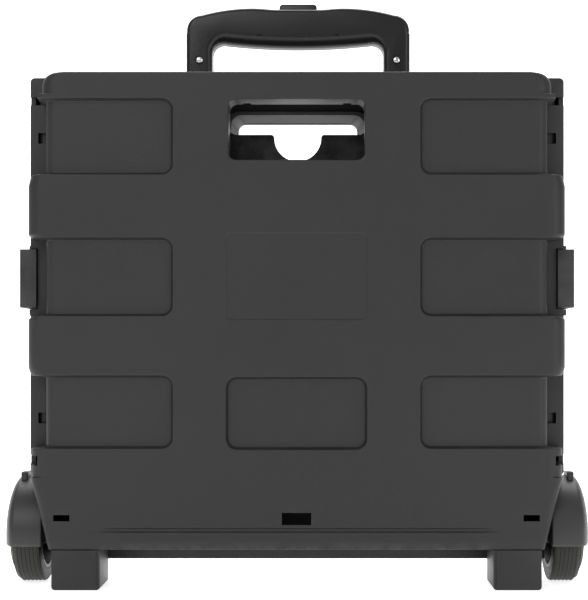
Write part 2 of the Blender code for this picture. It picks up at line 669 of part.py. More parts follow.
def make_side_panel(side, rear):
    """Half of a folding side wall, lying against the split plane."""
    way = 1 if rear else -1
    name = ("rear" if rear else "front") + "_side_panel_" + side_name(side)
    hinge_depth = REAR_HINGE_DEPTH if rear else FRONT_HINGE_DEPTH
    outer = SPLIT_DEPTH + way * GAP
    depth = (outer, outer + way * PANEL_THICKNESS)
    plate_end = HINGE_X - HINGE_OFFSET
    mid_edge = MID_X + MID_BARREL_RADIUS + MID_EDGE_ROOM
    panel = block(name, (side * mid_edge, side * plate_end), depth, (PANEL_BOTTOM, PANEL_TOP))
    pieces = []
    arm_depth = (hinge_depth - HINGE_ARM_HALF, hinge_depth + HINGE_ARM_HALF)
    spans = ((LUG_BOTTOM[1], LUG_MIDDLE[0]), (LUG_MIDDLE[1], LUG_TOP[0]))
    for low, high in spans:
        z = (low + KNUCKLE_GAP, min(high - KNUCKLE_GAP, PANEL_TOP))
        pieces.append(rod("barrel", "z", (side * HINGE_X, hinge_depth), z, HINGE_BARREL_RADIUS))
        pieces.append(block("arm", (side * (plate_end - WALL), side * HINGE_X), arm_depth, z))
    for z in knuckle_heights(0 if rear else 1):
        pieces.append(rod("knuckle", "z", (side * MID_X, SPLIT_DEPTH), z, MID_BARREL_RADIUS, 12))
        pieces.append(block("knuckle_arm", (side * MID_X, side * (mid_edge + WALL)), depth, z))
    join(panel, pieces)
    notch_x = HINGE_X - math.hypot(HINGE_X - FENDER_SIDE_CLEAR_X + WALL + GAP, HINGE_OFFSET) - GAP
    if rear:
        notch_x = HINGE_X - (REAR_HINGE_DEPTH - (AXLE_DEPTH - FENDER_RADIUS)) - WALL
    cutters = [
        block("fender_notch", (side * notch_x, side * OUTSIDE), (0, FAR * 2), (0, FENDER_CLEAR_TOP + WALL + GAP)),
        bore_cutter(side * HINGE_X, hinge_depth, HINGE_PIN_RADIUS),
        bore_cutter(side * MID_X, SPLIT_DEPTH, MID_PIN_RADIUS),
    ]
    low = FENDER_CLEAR_TOP + WALL + POCKET_MARGIN
    ends = sorted((side * (mid_edge + POCKET_MARGIN), side * (plate_end - POCKET_MARGIN)))
    skin = outer + way * (PANEL_THICKNESS - POCKET_SKIN)
    cutters += pockets(ends, (low, PANEL_TOP - POCKET_MARGIN), (outer - way * WALL, skin), SIDE_POCKETS)
    cut(panel, cutters)
    return finish(panel, "panel", smooth=True)


def bore_cutter(x, depth, pin_radius):
    limits = (PANEL_BOTTOM - FAR, PANEL_TOP + FAR)
    return rod("pin_bore", "z", (x, depth), limits, pin_radius + PIN_CLEARANCE, 8)


def make_hinge_pin(side, kind, x, depth, limits, radius):
    pin = rod(kind + "_pin_" + side_name(side), "z", (side * x, depth), limits, radius, 12)
    return finish(pin, "steel", smooth=True)


def notch_outline():
    """Round finger notch whose middle lies a little below the panel's top edge."""
    points = [(FINGER_NOTCH_RADIUS, BASE_TOP + WALL)]
    for step in range(17):
        angle = step / 16 * math.pi
        x = FINGER_NOTCH_RADIUS * math.cos(angle)
        points.append((x, BASE_TOP - FINGER_NOTCH_SINK - FINGER_NOTCH_RADIUS * math.sin(angle)))
    return points + [(-FINGER_NOTCH_RADIUS, BASE_TOP + WALL)]


def make_base_panel():
    x = (-BASE_HALF_WIDTH, BASE_HALF_WIDTH)
    outline = rounded(x, (BASE_BOTTOM, BASE_TOP), 0.006, 3)
    panel = prism("base_panel", outline, "y", BASE_DEPTHS)
    bore = BASE_PIN_RADIUS + PIN_CLEARANCE
    cutters = [
        prism("finger_notch", notch_outline(), "y", (0, 2 * FAR)),
        rod("base_bore", "x", (base_pin_depth(), BASE_PIN_HEIGHT), (-OUTSIDE, OUTSIDE), bore, 12),
    ]
    inside = (x[0] + POCKET_MARGIN, x[1] - POCKET_MARGIN)
    heights = (BASE_PIN_HEIGHT + POCKET_MARGIN, BASE_TOP - FINGER_NOTCH_SINK - FINGER_NOTCH_RADIUS - POCKET_MARGIN)
    depth = (BASE_DEPTHS[0] + POCKET_SKIN, BASE_DEPTHS[1] + WALL)
    cut(panel, cutters + pockets(inside, heights, depth, BASE_POCKETS))
    return finish(panel, "panel")


def make_base_pin():
    edge = FENDER_SIDE_CLEAR_X - WALL - GAP
    centre = (base_pin_depth(), BASE_PIN_HEIGHT)
    return finish(rod("base_hinge_pin", "x", centre, (-edge, edge), BASE_PIN_RADIUS, 12), "steel", True)


def make_foot(side):
    """Hollow foot under the front shell."""
    half = FOOT_WIDTH / 2
    x = (side * FOOT_X - half, side * FOOT_X + half)
    top = FRONT_BOTTOM - GAP
    foot = prism("foot_" + side_name(side), rounded(x, (0, 2 * top), FOOT_RADIUS, 3), "y", (0, FOOT_LENGTH))
    inside = (x[0] + WALL, x[1] - WALL)
    cutters = [
        block("above", (x[0] - WALL, x[1] + WALL), (-WALL, FOOT_LENGTH + WALL), (top, FAR * 2)),
        block("inside", inside, (WALL, FOOT_LENGTH - WALL), (WALL * 2, FAR)),
    ]
    cut(foot, cutters)
    return finish(foot, "crate", smooth=True)


# ---- wheels, axle and fenders

def dome(base_x, length, radius, steps=5):
    """Outer side of a wheel or fender: quarter of an ellipse from the tread to the axis."""
    points = []
    for step in range(steps + 1):
        angle = step / steps * math.pi / 2
        points.append((base_x + length * math.sin(angle), radius * math.cos(angle)))
    points[-1] = (base_x + length, 0.0)
    return points


def dome_x(radius):
    """How far out the wheel's domed side is at a radius."""
    base = WHEEL_OUTER_X - DOME_LENGTH
    return base + DOME_LENGTH * math.sqrt(1 - (radius / WHEEL_RADIUS) ** 2)


def make_tyre(side):
    inner = RIM_RADIUS + GAP
    outer = [p for p in dome(WHEEL_OUTER_X - DOME_LENGTH, DOME_LENGTH, WHEEL_RADIUS, 6) if p[1] > inner]
    profile = [(WHEEL_INNER_X, inner), (WHEEL_INNER_X, WHEEL_RADIUS - FOOT_RADIUS)]
    profile += [(WHEEL_INNER_X + FOOT_RADIUS, WHEEL_RADIUS)] + outer + [(dome_x(inner), inner)]
    return finish(turned("tyre_" + side_name(side), profile, side), "tyre", smooth=True)


def make_hub(side):
    """Spoked disc with a domed outer side and a pocket for the axle nut."""
    bore = AXLE_RADIUS + PIN_CLEARANCE
    pocket_floor = WHEEL_OUTER_X - NUT_LENGTH - GAP
    web = pocket_floor - WALL
    profile = [
        (WHEEL_INNER_X, bore), (WHEEL_INNER_X, HUB_BOSS_RADIUS), (web, HUB_BOSS_RADIUS),
        (web, RIM_RADIUS - WALL), (WHEEL_INNER_X, RIM_RADIUS - WALL), (WHEEL_INNER_X, RIM_RADIUS),
    ]
    for step in range(5):
        radius = RIM_RADIUS + (HUB_POCKET_RADIUS - RIM_RADIUS) * step / 4
        profile.append((dome_x(radius), radius))
    profile += [(pocket_floor, HUB_POCKET_RADIUS), (pocket_floor, bore)]
    return finish(turned("wheel_hub_" + side_name(side), profile, side), "crate", smooth=True)


def make_nut(side):
    """Push-on cap that holds the wheel on the axle."""
    start = WHEEL_OUTER_X - NUT_LENGTH
    bore = AXLE_RADIUS + PIN_CLEARANCE
    axle_end = WHEEL_OUTER_X - WALL + GAP
    crown = WHEEL_OUTER_X - GAP
    profile = [
        (start, bore), (start, NUT_RADIUS), (crown - NUT_CROWN[0], NUT_RADIUS), (crown, NUT_CROWN[1]),
        (crown, 0.0), (axle_end, 0.0), (axle_end, bore),
    ]
    return finish(turned("axle_nut_" + side_name(side), profile, side, 24), "crate", smooth=True)


def make_fender(side):
    """Domed guard over the front, top and back of a wheel, open below."""
    length = FENDER_OUTER_X - (WHEEL_OUTER_X - DOME_LENGTH) - FENDER_WALL / 2
    base = FENDER_OUTER_X - length
    outer = dome(base, length, FENDER_RADIUS)
    inner = dome(base, length - FENDER_WALL, FENDER_RADIUS - FENDER_WALL)
    bore = AXLE_RADIUS + PIN_CLEARANCE
    wheel_side = FENDER_INNER_X + FENDER_WALL
    profile = [(FENDER_INNER_X, bore), (FENDER_INNER_X, FENDER_RADIUS)] + outer + list(reversed(inner))
    profile += [(wheel_side, FENDER_RADIUS - FENDER_WALL), (wheel_side, bore)]
    fender = turned("fender_" + side_name(side), profile, side, 32)
    tab_x = (side * (TAB_X - TAB_HALF_WIDTH), side * (TAB_X + TAB_HALF_WIDTH))
    tab_z = (AXLE_HEIGHT + FENDER_RADIUS - FENDER_WALL, AXLE_HEIGHT + FENDER_RADIUS + TAB_HEIGHT)
    join(fender, [block("tab", tab_x, (AXLE_DEPTH - TAB_FRONT, AXLE_DEPTH + FOOT_RADIUS), tab_z)])
    below = [
        (-FAR, FENDER_FRONT_EDGE - 0.004), (AXLE_DEPTH - FENDER_RADIUS, FENDER_FRONT_EDGE),
        (AXLE_DEPTH + FENDER_RADIUS, FENDER_REAR_EDGE), (4 * FAR, FENDER_REAR_EDGE), (4 * FAR, -FAR), (-FAR, -FAR),
    ]
    cut(fender, [prism("below", below, "x", (side * (FENDER_INNER_X - FAR / 4), side * (FENDER_OUTER_X + FAR / 4)))])
    return finish(fender, "crate", smooth=True)


def make_axle_beam():
    """Channel under the back shell that carries the axle."""
    outline = rounded(BEAM_DEPTHS, (BEAM_BOTTOM, BACK_BOTTOM - GAP), FOOT_RADIUS, 3)
    beam = prism("axle_beam", outline, "x", (-BEAM_HALF_WIDTH, BEAM_HALF_WIDTH))
    inside = (BEAM_DEPTHS[0] + WALL, BEAM_DEPTHS[1] - WALL)
    cutters = [rod("axle_bore", "x", (AXLE_DEPTH, AXLE_HEIGHT), (-OUTSIDE, OUTSIDE), AXLE_RADIUS + PIN_CLEARANCE, 12)]
    bay = BEAM_HALF_WIDTH / 2
    for k in range(4):
        x = (-BEAM_HALF_WIDTH + k * bay + WALL, -BEAM_HALF_WIDTH + (k + 1) * bay - WALL)
        cutters.append(block("bay", x, inside, (BEAM_BOTTOM - FAR, BACK_BOTTOM - GAP - WALL)))
    cut(beam, cutters)
    return finish(beam, "crate", smooth=True)


def make_axle():
    end = WHEEL_OUTER_X - WALL
    return finish(rod("axle", "x", (AXLE_DEPTH, AXLE_HEIGHT), (-end, end), AXLE_RADIUS, 20), "steel", True)


# ---- telescopic handle

def tube_outline(side, size, radius):
    x = (side * TUBE_X - size[0] / 2, side * TUBE_X + size[0] / 2)
    depth = (TUBE_DEPTH - size[1] / 2, TUBE_DEPTH + size[1] / 2)
    return rounded(x, depth, radius, 3)


def stage_size(stage):
    """Outer width, depth and corner radius of the outer, mid or inner tube."""
    step = 2 * (TUBE_WALL + GAP) * stage
    return (OUTER_TUBE[0] - step, OUTER_TUBE[1] - step), TUBE_RADIUS - step / 4


def larger(size, margin):
    return (size[0] + 2 * margin, size[1] + 2 * margin)


def make_tube(side, stage, limits):
    size, radius = stage_size(stage)
    name = ("outer", "mid", "inner")[stage] + "_tube_" + side_name(side)
    tube = prism(name, tube_outline(side, size, radius), "z", limits)
    hole = tube_outline(side, larger(size, -TUBE_WALL), radius / 2)
    cutters = [prism("hole", hole, "z", (limits[0] - FAR, limits[1] + FAR))]
    if stage == 2:
        bore = GRIP_SCREW_RADIUS + PIN_CLEARANCE
        cutters.append(rod("screw_hole", "y", (side * TUBE_X, GRIP_SCREW_HEIGHT), (0, 2 * FAR), bore, 12))
    cut(tube, cutters)
    return finish(tube, "tube", smooth=True)


def make_collar(side, stage, bottom, top, tube_top):
    """Ring round the top of one tube, with a lip that guides the next tube."""
    size, radius = stage_size(stage)
    following, following_radius = stage_size(stage + 1)
    name = ("tube_collar_", "mid_collar_")[stage] + side_name(side)
    wall = COLLAR_WALL if stage == 0 else COLLAR_WALL - GAP
    outline = tube_outline(side, larger(size, wall), radius + wall / 2)
    collar = prism(name, outline, "z", (bottom, top))
    cutters = [
        prism("seat", tube_outline(side, larger(size, GAP), radius), "z", (bottom - WALL, tube_top + GAP)),
        prism("guide", tube_outline(side, larger(following, GAP), following_radius), "z", (bottom, top + WALL)),
    ]
    cut(collar, cutters)
    return finish(collar, "grip", smooth=True)


def make_plug(side):
    """Socket that closes the outer tube's lower end."""
    size, radius = stage_size(0)
    half = size[0] / 2 + COLLAR_WALL
    x = (side * TUBE_X - half, side * TUBE_X + half)
    depth = (BACK_FACE_DEPTH + GAP, TUBE_DEPTH + size[1] / 2 + COLLAR_WALL)
    bottom = OUTER_TUBE_HEIGHTS[0] - WALL
    outline = rounded(x, depth, PLUG_RADIUS, 3)
    plug = prism("tube_plug_" + side_name(side), outline, "z", (bottom, bottom + PLUG_HEIGHT))
    seat = tube_outline(side, larger(size, GAP), radius)
    cut(plug, [prism("seat", seat, "z", (OUTER_TUBE_HEIGHTS[0] - GAP, bottom + FAR))])
    return finish(plug, "crate", smooth=True)


def make_clamp(name, bottom):
    """Bar across the back that holds both outer tubes against the shell."""
    x = (-CLAMP_HALF_WIDTH, CLAMP_HALF_WIDTH)
    outline = rounded(x, (BACK_FACE_DEPTH + GAP, CLAMP_REAR), WALL, 3)
    clamp = prism(name, outline, "z", (bottom, bottom + CLAMP_HEIGHT))
    size, radius = stage_size(0)
    reach = (bottom - WALL, bottom + CLAMP_HEIGHT + WALL)
    cutters = [prism("seat", tube_outline(side, larger(size, GAP), radius), "z", reach) for side in (-1, 1)]
    inner = TUBE_X - size[0] / 2 - CLAMP_WAIST
    waist = (CLAMP_REAR - CLAMP_WAIST, CLAMP_REAR + FAR)
    cutters.append(block("waist", (-inner, inner), waist, reach))
    for place in screw_places():
        bore = SCREW_RADIUS + PIN_CLEARANCE
        cutters.append(rod("screw_hole", "y", place, (FAR / 2, 2 * FAR), bore, 12))
    cut(clamp, cutters)
    return finish(clamp, "crate", smooth=True)


def make_screws():
    screws = []
    seat = CLAMP_REAR - CLAMP_WAIST + GAP
    for k, place in enumerate(screw_places()):
        reach = (BACK_FACE_DEPTH - WALL, seat + SCREW_HEAD_HEIGHT / 2)
        screw = rod("clamp_screw_%d" % (k + 1), "y", place, reach, SCREW_RADIUS, 12)
        head = rod("head", "y", place, (seat, seat + SCREW_HEAD_HEIGHT), SCREW_HEAD_RADIUS, 16)
        join(screw, [head])
        screws.append(finish(screw, "steel", smooth=True))
    return screws


def grip_outline():
    """Face outline of the grip: a crossbar with a gentle crown, and two legs."""
    outer = [(GRIP_HALF_WIDTH, GRIP_BOTTOM)]
    radius = GRIP_CORNER_RADIUS
    for step in range(5):
        angle = step / 4 * math.pi / 2
        x = GRIP_HALF_WIDTH - radius * (1 - math.cos(angle))
        outer.append((x, GRIP_END_TOP - radius * (1 - math.sin(angle))))
    for step in range(1, 5):
        x = outer[5][0] * (1 - step / 5)
        outer.append((x, GRIP_END_TOP + (GRIP_TOP - GRIP_END_TOP) * math.sin(step / 5 * math.pi / 2)))
    inner = []
    for step in range(5):
        angle = step / 4 * math.pi / 2
        x = GRIP_LEG_INNER_X - TOP_CORNER_RADIUS * math.sin(angle)
        inner.append((x, GRIP_SHOULDER - TOP_CORNER_RADIUS * math.cos(angle)))
    end = GRIP_LEG_INNER_X - TOP_CORNER_RADIUS
    for share in (2 / 3, 1 / 3):
        inner.append((end * share, GRIP_UNDERSIDE + (GRIP_SHOULDER - GRIP_UNDERSIDE) * share ** 2))
    legs = [(GRIP_LEG_INNER_X, GRIP_BOTTOM)] + inner
    mirrored_outer = [(-x, z) for x, z in reversed(outer)]
    mirrored_legs = [(-x, z) for x, z in legs]
    underside = mirrored_legs + [(0.0, GRIP_UNDERSIDE)] + list(reversed(legs))
    return outer + [(0.0, GRIP_TOP)] + mirrored_outer + underside


def make_grip_half(front):
    way = -1 if front else 1
    name = "grip_front" if front else "grip_rear"
    face = TUBE_DEPTH + way * GRIP_DEPTH / 2
    half = prism(name, grip_outline(), "y", (TUBE_DEPTH + way * GAP / 2, face))
    size, radius = stage_size(2)
    channel = CHANNEL_HALF_WIDTH
    reach = (TUBE_DEPTH - CHANNEL_DEPTH, TUBE_DEPTH + CHANNEL_DEPTH)
    button = BUTTON_HALF_WIDTH + GAP
    button_depth = (TUBE_DEPTH - BUTTON_HALF_DEPTH - GAP, TUBE_DEPTH + BUTTON_HALF_DEPTH + GAP)
    cutters = [
        block("channel", (-channel, channel), reach, CHANNEL_HEIGHTS),
        block("button_hole", (-button, button), button_depth, (BAR_HEIGHTS[1] - BUTTON_TRAVEL, BODY_TOP + 2 * FAR)),
    ]
    for side in (-1, 1):
        seat = tube_outline(side, larger(size, GAP), radius)
        cutters.append(prism("seat", seat, "z", (GRIP_BOTTOM - WALL, CHANNEL_HEIGHTS[0] + GAP)))
        centre = (side * TUBE_X, GRIP_SCREW_HEIGHT)
        bore = GRIP_SCREW_RADIUS + PIN_CLEARANCE
        ends = (TUBE_DEPTH - GRIP_DEPTH, TUBE_DEPTH + GRIP_DEPTH / 2 - WALL + GAP)
        cutters.append(rod("screw_hole", "y", centre, ends, bore, 12))
        sink = (TUBE_DEPTH - GRIP_DEPTH, TUBE_DEPTH - GRIP_DEPTH / 2 + SCREW_HEAD_HEIGHT / 2)
        cutters.append(rod("sink", "y", centre, sink, GRIP_SCREW_HEAD_RADIUS + GAP, 16))
    cut(half, cutters)
    return finish(half, "grip", smooth=True)


def make_grip_screw(side):
    centre = (side * TUBE_X, GRIP_SCREW_HEIGHT)
    seat = TUBE_DEPTH - GRIP_DEPTH / 2 + SCREW_HEAD_HEIGHT / 2 - GAP
    tip = TUBE_DEPTH + GRIP_DEPTH / 2 - WALL
    screw = rod("grip_screw_" + side_name(side), "y", centre, (seat - GAP, tip), GRIP_SCREW_RADIUS, 12)
    join(screw, [rod("head", "y", centre, (seat - 0.0014, seat), GRIP_SCREW_HEAD_RADIUS, 16)])
    return finish(screw, "steel", smooth=True)


def make_release():
    """Button, cross bar and the two rods that run down inside the tubes."""
    x = (-BUTTON_HALF_WIDTH, BUTTON_HALF_WIDTH)
    outline = rounded(x, (BAR_HEIGHTS[1] + GAP, BUTTON_TOP), 0.0025, 3)
    reach = (TUBE_DEPTH - BUTTON_HALF_DEPTH, TUBE_DEPTH + BUTTON_HALF_DEPTH)
    button = finish(prism("release_button", outline, "y", reach), "grip")
    bar_end = CHANNEL_HALF_WIDTH - 2 * GAP
    thick = (TUBE_DEPTH - BAR_HALF_DEPTH, TUBE_DEPTH + BAR_HALF_DEPTH)
    bar = finish(block("release_bar", (-bar_end, bar_end), thick, BAR_HEIGHTS), "panel")
    rods = []
    for side in (-1, 1):
        centre = (side * (TUBE_X - ROD_OFFSET), TUBE_DEPTH)
        limits = (ROD_BOTTOM, BAR_HEIGHTS[0] - GAP)
        item = rod("release_rod_" + side_name(side), "z", centre, limits, ROD_RADIUS, 8)
        rods.append(finish(item, "steel", smooth=True))
    return [button, bar] + rods


def make_button_spring():
    """Compression spring under the cross bar."""
    low = CHANNEL_HEIGHTS[0] + SPRING_WIRE + GAP
    high = BAR_HEIGHTS[0] - SPRING_WIRE - GAP
    per_turn = 8
    count = SPRING_TURNS * per_turn
    curve = bpy.data.curves.new("button_spring", "CURVE")
    curve.dimensions = "3D"
    curve.bevel_depth = SPRING_WIRE
    curve.bevel_resolution = 1
    curve.use_fill_caps = True
    spline = curve.splines.new("POLY")
    spline.points.add(count)
    for k, point in enumerate(spline.points):
        angle = 2 * math.pi * k / per_turn
        x = SPRING_RADIUS * math.cos(angle)
        place = at(x, TUBE_DEPTH + SPRING_RADIUS * math.sin(angle), low + (high - low) * k / count)
        point.co = (*place, 1.0)
    coil = bpy.data.objects.new("coil", curve)
    bpy.context.scene.collection.objects.link(coil)
    mesh = bpy.data.meshes.new_from_object(coil.evaluated_get(bpy.context.evaluated_depsgraph_get()))
    bpy.data.objects.remove(coil, do_unlink=True)
    bm = bmesh.new()
    bm.from_mesh(mesh)
    bmesh.ops.remove_doubles(bm, verts=bm.verts, dist=1e-6)
    return finish(add_object("button_spring", bm), "steel")


def make_latch(side):
    """Snap catch: a barrel on the back shell, an outer plate and a hooked lip."""
    centre = (side * LATCH_PIN_X, LATCH_PIN_DEPTH)
    latch = rod("latch_" + side_name(side), "z", centre, LATCH_HEIGHTS, LATCH_BARREL_RADIUS, 20)
    outer = side * LATCH_OUTER_X
    plate_x = (side * (LATCH_OUTER_X - LATCH_PLATE), outer)
    plate = block("plate", plate_x, (LATCH_LIP_DEPTHS[0], LATCH_PIN_DEPTH), LATCH_HEIGHTS)
    lip = block("lip", (side * LATCH_LIP_X, outer), LATCH_LIP_DEPTHS, LATCH_HEIGHTS)
    join(latch, [plate, lip])
    bore = LATCH_PIN_RADIUS + PIN_CLEARANCE
    cut(latch, [rod("latch_bore", "z", centre, (LATCH_HEIGHTS[0] - WALL, LATCH_HEIGHTS[1] + WALL), bore, 12)])
    return finish(latch, "crate", smooth=True)


# ---- bodies

def build_back():
    make_back_shell()
    make_base_panel()
    make_base_pin()
    make_axle_beam()
    make_axle()
    make_clamp("lower_clamp", CLAMP_BOTTOMS[0])
    make_clamp("upper_clamp", CLAMP_BOTTOMS[1])
    make_screws()
    pin_limits = (LUG_BOTTOM[0], LUG_TOP[1] - WALL / 2 - GAP)
    collar_top = OUTER_TUBE_HEIGHTS[1] + COLLAR_LIP
    for side in (-1, 1):
        make_fender(side)
        make_nut(side)
        make_tube(side, 0, OUTER_TUBE_HEIGHTS)
        make_collar(side, 0, collar_top - COLLAR_HEIGHT, collar_top, OUTER_TUBE_HEIGHTS[1])
        make_plug(side)
        make_hinge_pin(side, "rear_hinge", HINGE_X, REAR_HINGE_DEPTH, pin_limits, HINGE_PIN_RADIUS)
        ends = latch_pin_limits()
        make_hinge_pin(side, "latch", LATCH_PIN_X, LATCH_PIN_DEPTH, ends, LATCH_PIN_RADIUS)


def build_fold():
    """Side panels hang on the rear hinges, and the front shell on the left front panel."""
    front_parent = None
    for side in (-1, 1):
        word = side_name(side)
        rear = pivot("rear_side_" + word, at(side * HINGE_X, REAR_HINGE_DEPTH, PANEL_BOTTOM))
        mid_limits = (PANEL_BOTTOM, PANEL_TOP)
        mid_pin = make_hinge_pin(side, "mid_hinge", MID_X, SPLIT_DEPTH, mid_limits, MID_PIN_RADIUS)
        carry(rear, [make_side_panel(side, True), mid_pin])
        mid = pivot("front_side_" + word, at(side * MID_X, SPLIT_DEPTH, PANEL_BOTTOM), rear)
        carry(mid, [make_side_panel(side, False)])
        front_parent = front_parent or mid
    front = pivot("front", at(-HINGE_X, FRONT_HINGE_DEPTH, PANEL_BOTTOM), front_parent)
    pieces = [make_front_shell()]
    pin_limits = (LUG_BOTTOM[0], LUG_TOP[1] - WALL / 2 - GAP)
    for side in (-1, 1):
        pieces.append(make_foot(side))
        place = (HINGE_X, FRONT_HINGE_DEPTH)
        pieces.append(make_hinge_pin(side, "front_hinge", *place, pin_limits, HINGE_PIN_RADIUS))
    carry(front, pieces)


def build_handle():
    mid = pivot("handle_mid", at(0, TUBE_DEPTH, MID_TUBE_HEIGHTS[0]))
    top = pivot("handle_top", at(0, TUBE_DEPTH, INNER_TUBE_HEIGHTS[0]), mid)
    release = pivot("release", at(0, TUBE_DEPTH, BAR_HEIGHTS[1]), top)
    collar_bottom = OUTER_TUBE_HEIGHTS[1] + COLLAR_LIP + GAP
    collar_top = collar_bottom + MID_COLLAR_HEIGHT
    carry(mid, both_sides(lambda side: [
        make_tube(side, 1, MID_TUBE_HEIGHTS),
        make_collar(side, 1, collar_bottom, collar_top, MID_TUBE_HEIGHTS[1]),
    ]))
    carry(top, [make_grip_half(True), make_grip_half(False)])
    carry(top, both_sides(lambda side: [make_tube(side, 2, INNER_TUBE_HEIGHTS), make_grip_screw(side)]))
    carry(release, make_release() + [make_button_spring()])


def build_wheels_and_latches():
    for side in (-1, 1):
        word = side_name(side)
        wheel = pivot("wheel_" + word, at(side * WHEEL_INNER_X, AXLE_DEPTH, AXLE_HEIGHT))
        carry(wheel, [make_tyre(side), make_hub(side)])
        latch = pivot("latch_" + word, at(side * LATCH_PIN_X, LATCH_PIN_DEPTH, LATCH_HEIGHTS[0]))
        carry(latch, [make_latch(side)])


def main():
    clear_scene()
    build_back()
    build_fold()
    build_handle()
    build_wheels_and_latches()


main()
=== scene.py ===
import json
import math

import bmesh
import bpy
from mathutils import Matrix, Vector

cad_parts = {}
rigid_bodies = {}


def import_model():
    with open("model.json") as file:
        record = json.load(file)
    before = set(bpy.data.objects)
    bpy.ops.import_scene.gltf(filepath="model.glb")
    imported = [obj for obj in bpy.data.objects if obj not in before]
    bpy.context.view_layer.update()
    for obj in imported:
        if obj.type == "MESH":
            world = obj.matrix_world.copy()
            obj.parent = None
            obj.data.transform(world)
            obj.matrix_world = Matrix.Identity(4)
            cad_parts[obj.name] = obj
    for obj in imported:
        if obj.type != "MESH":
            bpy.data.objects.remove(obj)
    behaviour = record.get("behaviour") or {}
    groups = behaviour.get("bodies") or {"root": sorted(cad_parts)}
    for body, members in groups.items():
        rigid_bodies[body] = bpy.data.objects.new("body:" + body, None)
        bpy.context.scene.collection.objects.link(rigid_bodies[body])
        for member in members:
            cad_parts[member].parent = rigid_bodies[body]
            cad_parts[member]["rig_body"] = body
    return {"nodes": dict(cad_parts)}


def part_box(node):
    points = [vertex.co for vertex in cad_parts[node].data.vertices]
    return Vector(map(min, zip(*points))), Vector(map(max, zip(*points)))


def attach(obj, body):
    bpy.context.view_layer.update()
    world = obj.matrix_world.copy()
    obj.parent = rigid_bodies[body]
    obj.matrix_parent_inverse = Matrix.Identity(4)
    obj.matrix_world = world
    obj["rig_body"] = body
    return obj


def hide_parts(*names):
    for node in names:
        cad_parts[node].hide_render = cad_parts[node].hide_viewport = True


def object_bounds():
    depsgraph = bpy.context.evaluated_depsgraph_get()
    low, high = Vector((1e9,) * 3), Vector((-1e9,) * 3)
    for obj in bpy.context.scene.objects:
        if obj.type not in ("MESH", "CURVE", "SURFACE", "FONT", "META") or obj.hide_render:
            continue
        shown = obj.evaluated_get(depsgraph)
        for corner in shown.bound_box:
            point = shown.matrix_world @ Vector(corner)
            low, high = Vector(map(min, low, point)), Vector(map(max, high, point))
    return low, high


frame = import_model()
cadLow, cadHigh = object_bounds()
print("frame loaded:", len(frame["nodes"]), "nodes")

quarterTurn = math.pi / 2


def at(x, depth, z):  # depth is measured back from the crate's front face
    return Vector((x, depth + cadLow.y, z))


# finishes

def newGroup(name, inputs, outputs):
    group = bpy.data.node_groups.new(name, "ShaderNodeTree")
    for label, value in inputs.items():
        socket = group.interface.new_socket(label, in_out="INPUT", socket_type="NodeSocketFloat")
        socket.default_value = value
    for label in outputs:
        group.interface.new_socket(label, in_out="OUTPUT", socket_type="NodeSocketFloat")
    return group, group.nodes.new("NodeGroupInput"), group.nodes.new("NodeGroupOutput")


def noiseNode(tree, coordinates, scale, detail=2.0, roughness=0.5):
    node = tree.nodes.new("ShaderNodeTexNoise")
    node.inputs["Detail"].default_value = detail
    node.inputs["Roughness"].default_value = roughness
    tree.links.new(coordinates, node.inputs["Vector"])
    if isinstance(scale, bpy.types.NodeSocket):
        tree.links.new(scale, node.inputs["Scale"])
    else:
        node.inputs["Scale"].default_value = scale
    return node.outputs["Fac"]


def mathNode(tree, operation, first, second=0.0):
    node = tree.nodes.new("ShaderNodeMath")
    node.operation = operation
    for socket, value in zip(node.inputs, (first, second)):
        if isinstance(value, bpy.types.NodeSocket):
            tree.links.new(value, socket)
        else:
            socket.default_value = value
    return node.outputs[0]


def rangeNode(tree, value, fromLow, fromHigh, toLow=0.0, toHigh=1.0):
    node = tree.nodes.new("ShaderNodeMapRange")
    for label, given in (("Value", value), ("From Min", fromLow), ("From Max", fromHigh),
                         ("To Min", toLow), ("To Max", toHigh)):
        if isinstance(given, bpy.types.NodeSocket):
            tree.links.new(given, node.inputs[label])
        else:
            node.inputs[label].default_value = given
    return node.outputs["Result"]


def grainGroup():  # spark-eroded mould grain, with faint flow marks and sinks
    tree, given, result = newGroup(
        "mouldGrain", {"Grain Scale": 900.0, "Flow Scale": 7.0, "Flow Height": 1.0}, ["Height", "Tone"])
    place = tree.nodes.new("ShaderNodeTexCoord").outputs["Object"]
    fine = noiseNode(tree, place, given.outputs["Grain Scale"], 3.0, 0.6)
    flow = noiseNode(tree, place, given.outputs["Flow Scale"], 1.0)
    cells = tree.nodes.new("ShaderNodeTexVoronoi")
    tree.links.new(place, cells.inputs["Vector"])
    tree.links.new(given.outputs["Grain Scale"], cells.inputs["Scale"])
    raised = mathNode(tree, "MULTIPLY", cells.outputs["Distance"], 0.6)
    raised = mathNode(tree, "ADD", raised, fine)
    rolled = mathNode(tree, "MULTIPLY", flow, given.outputs["Flow Height"])
    tree.links.new(mathNode(tree, "ADD", raised, rolled), result.inputs["Height"])
    patches = noiseNode(tree, place, 34.0, 4.0, 0.6)
    halfFlow = mathNode(tree, "MULTIPLY", flow, 0.5)
    tone = mathNode(tree, "ADD", halfFlow, mathNode(tree, "MULTIPLY", patches, 0.5))
    tree.links.new(tone, result.inputs["Tone"])
    return tree


def wearGroup():  # lighter edges: a painted edge highlight with a little rubbed wear, broken up so that they are not an outline
    tree, given, result = newGroup("edgeWear", {"Start": 0.52, "End": 0.62, "Breakup Scale": 60.0}, ["Mask"])
    place = tree.nodes.new("ShaderNodeTexCoord").outputs["Object"]
    edges = tree.nodes.new("ShaderNodeNewGeometry").outputs["Pointiness"]
    mask = rangeNode(tree, edges, given.outputs["Start"], given.outputs["End"])
    broken = noiseNode(tree, place, given.outputs["Breakup Scale"], 4.0, 0.65)
    broken = rangeNode(tree, broken, 0.38, 0.62)
    tree.links.new(mathNode(tree, "MULTIPLY", mask, broken), result.inputs["Mask"])
    return tree


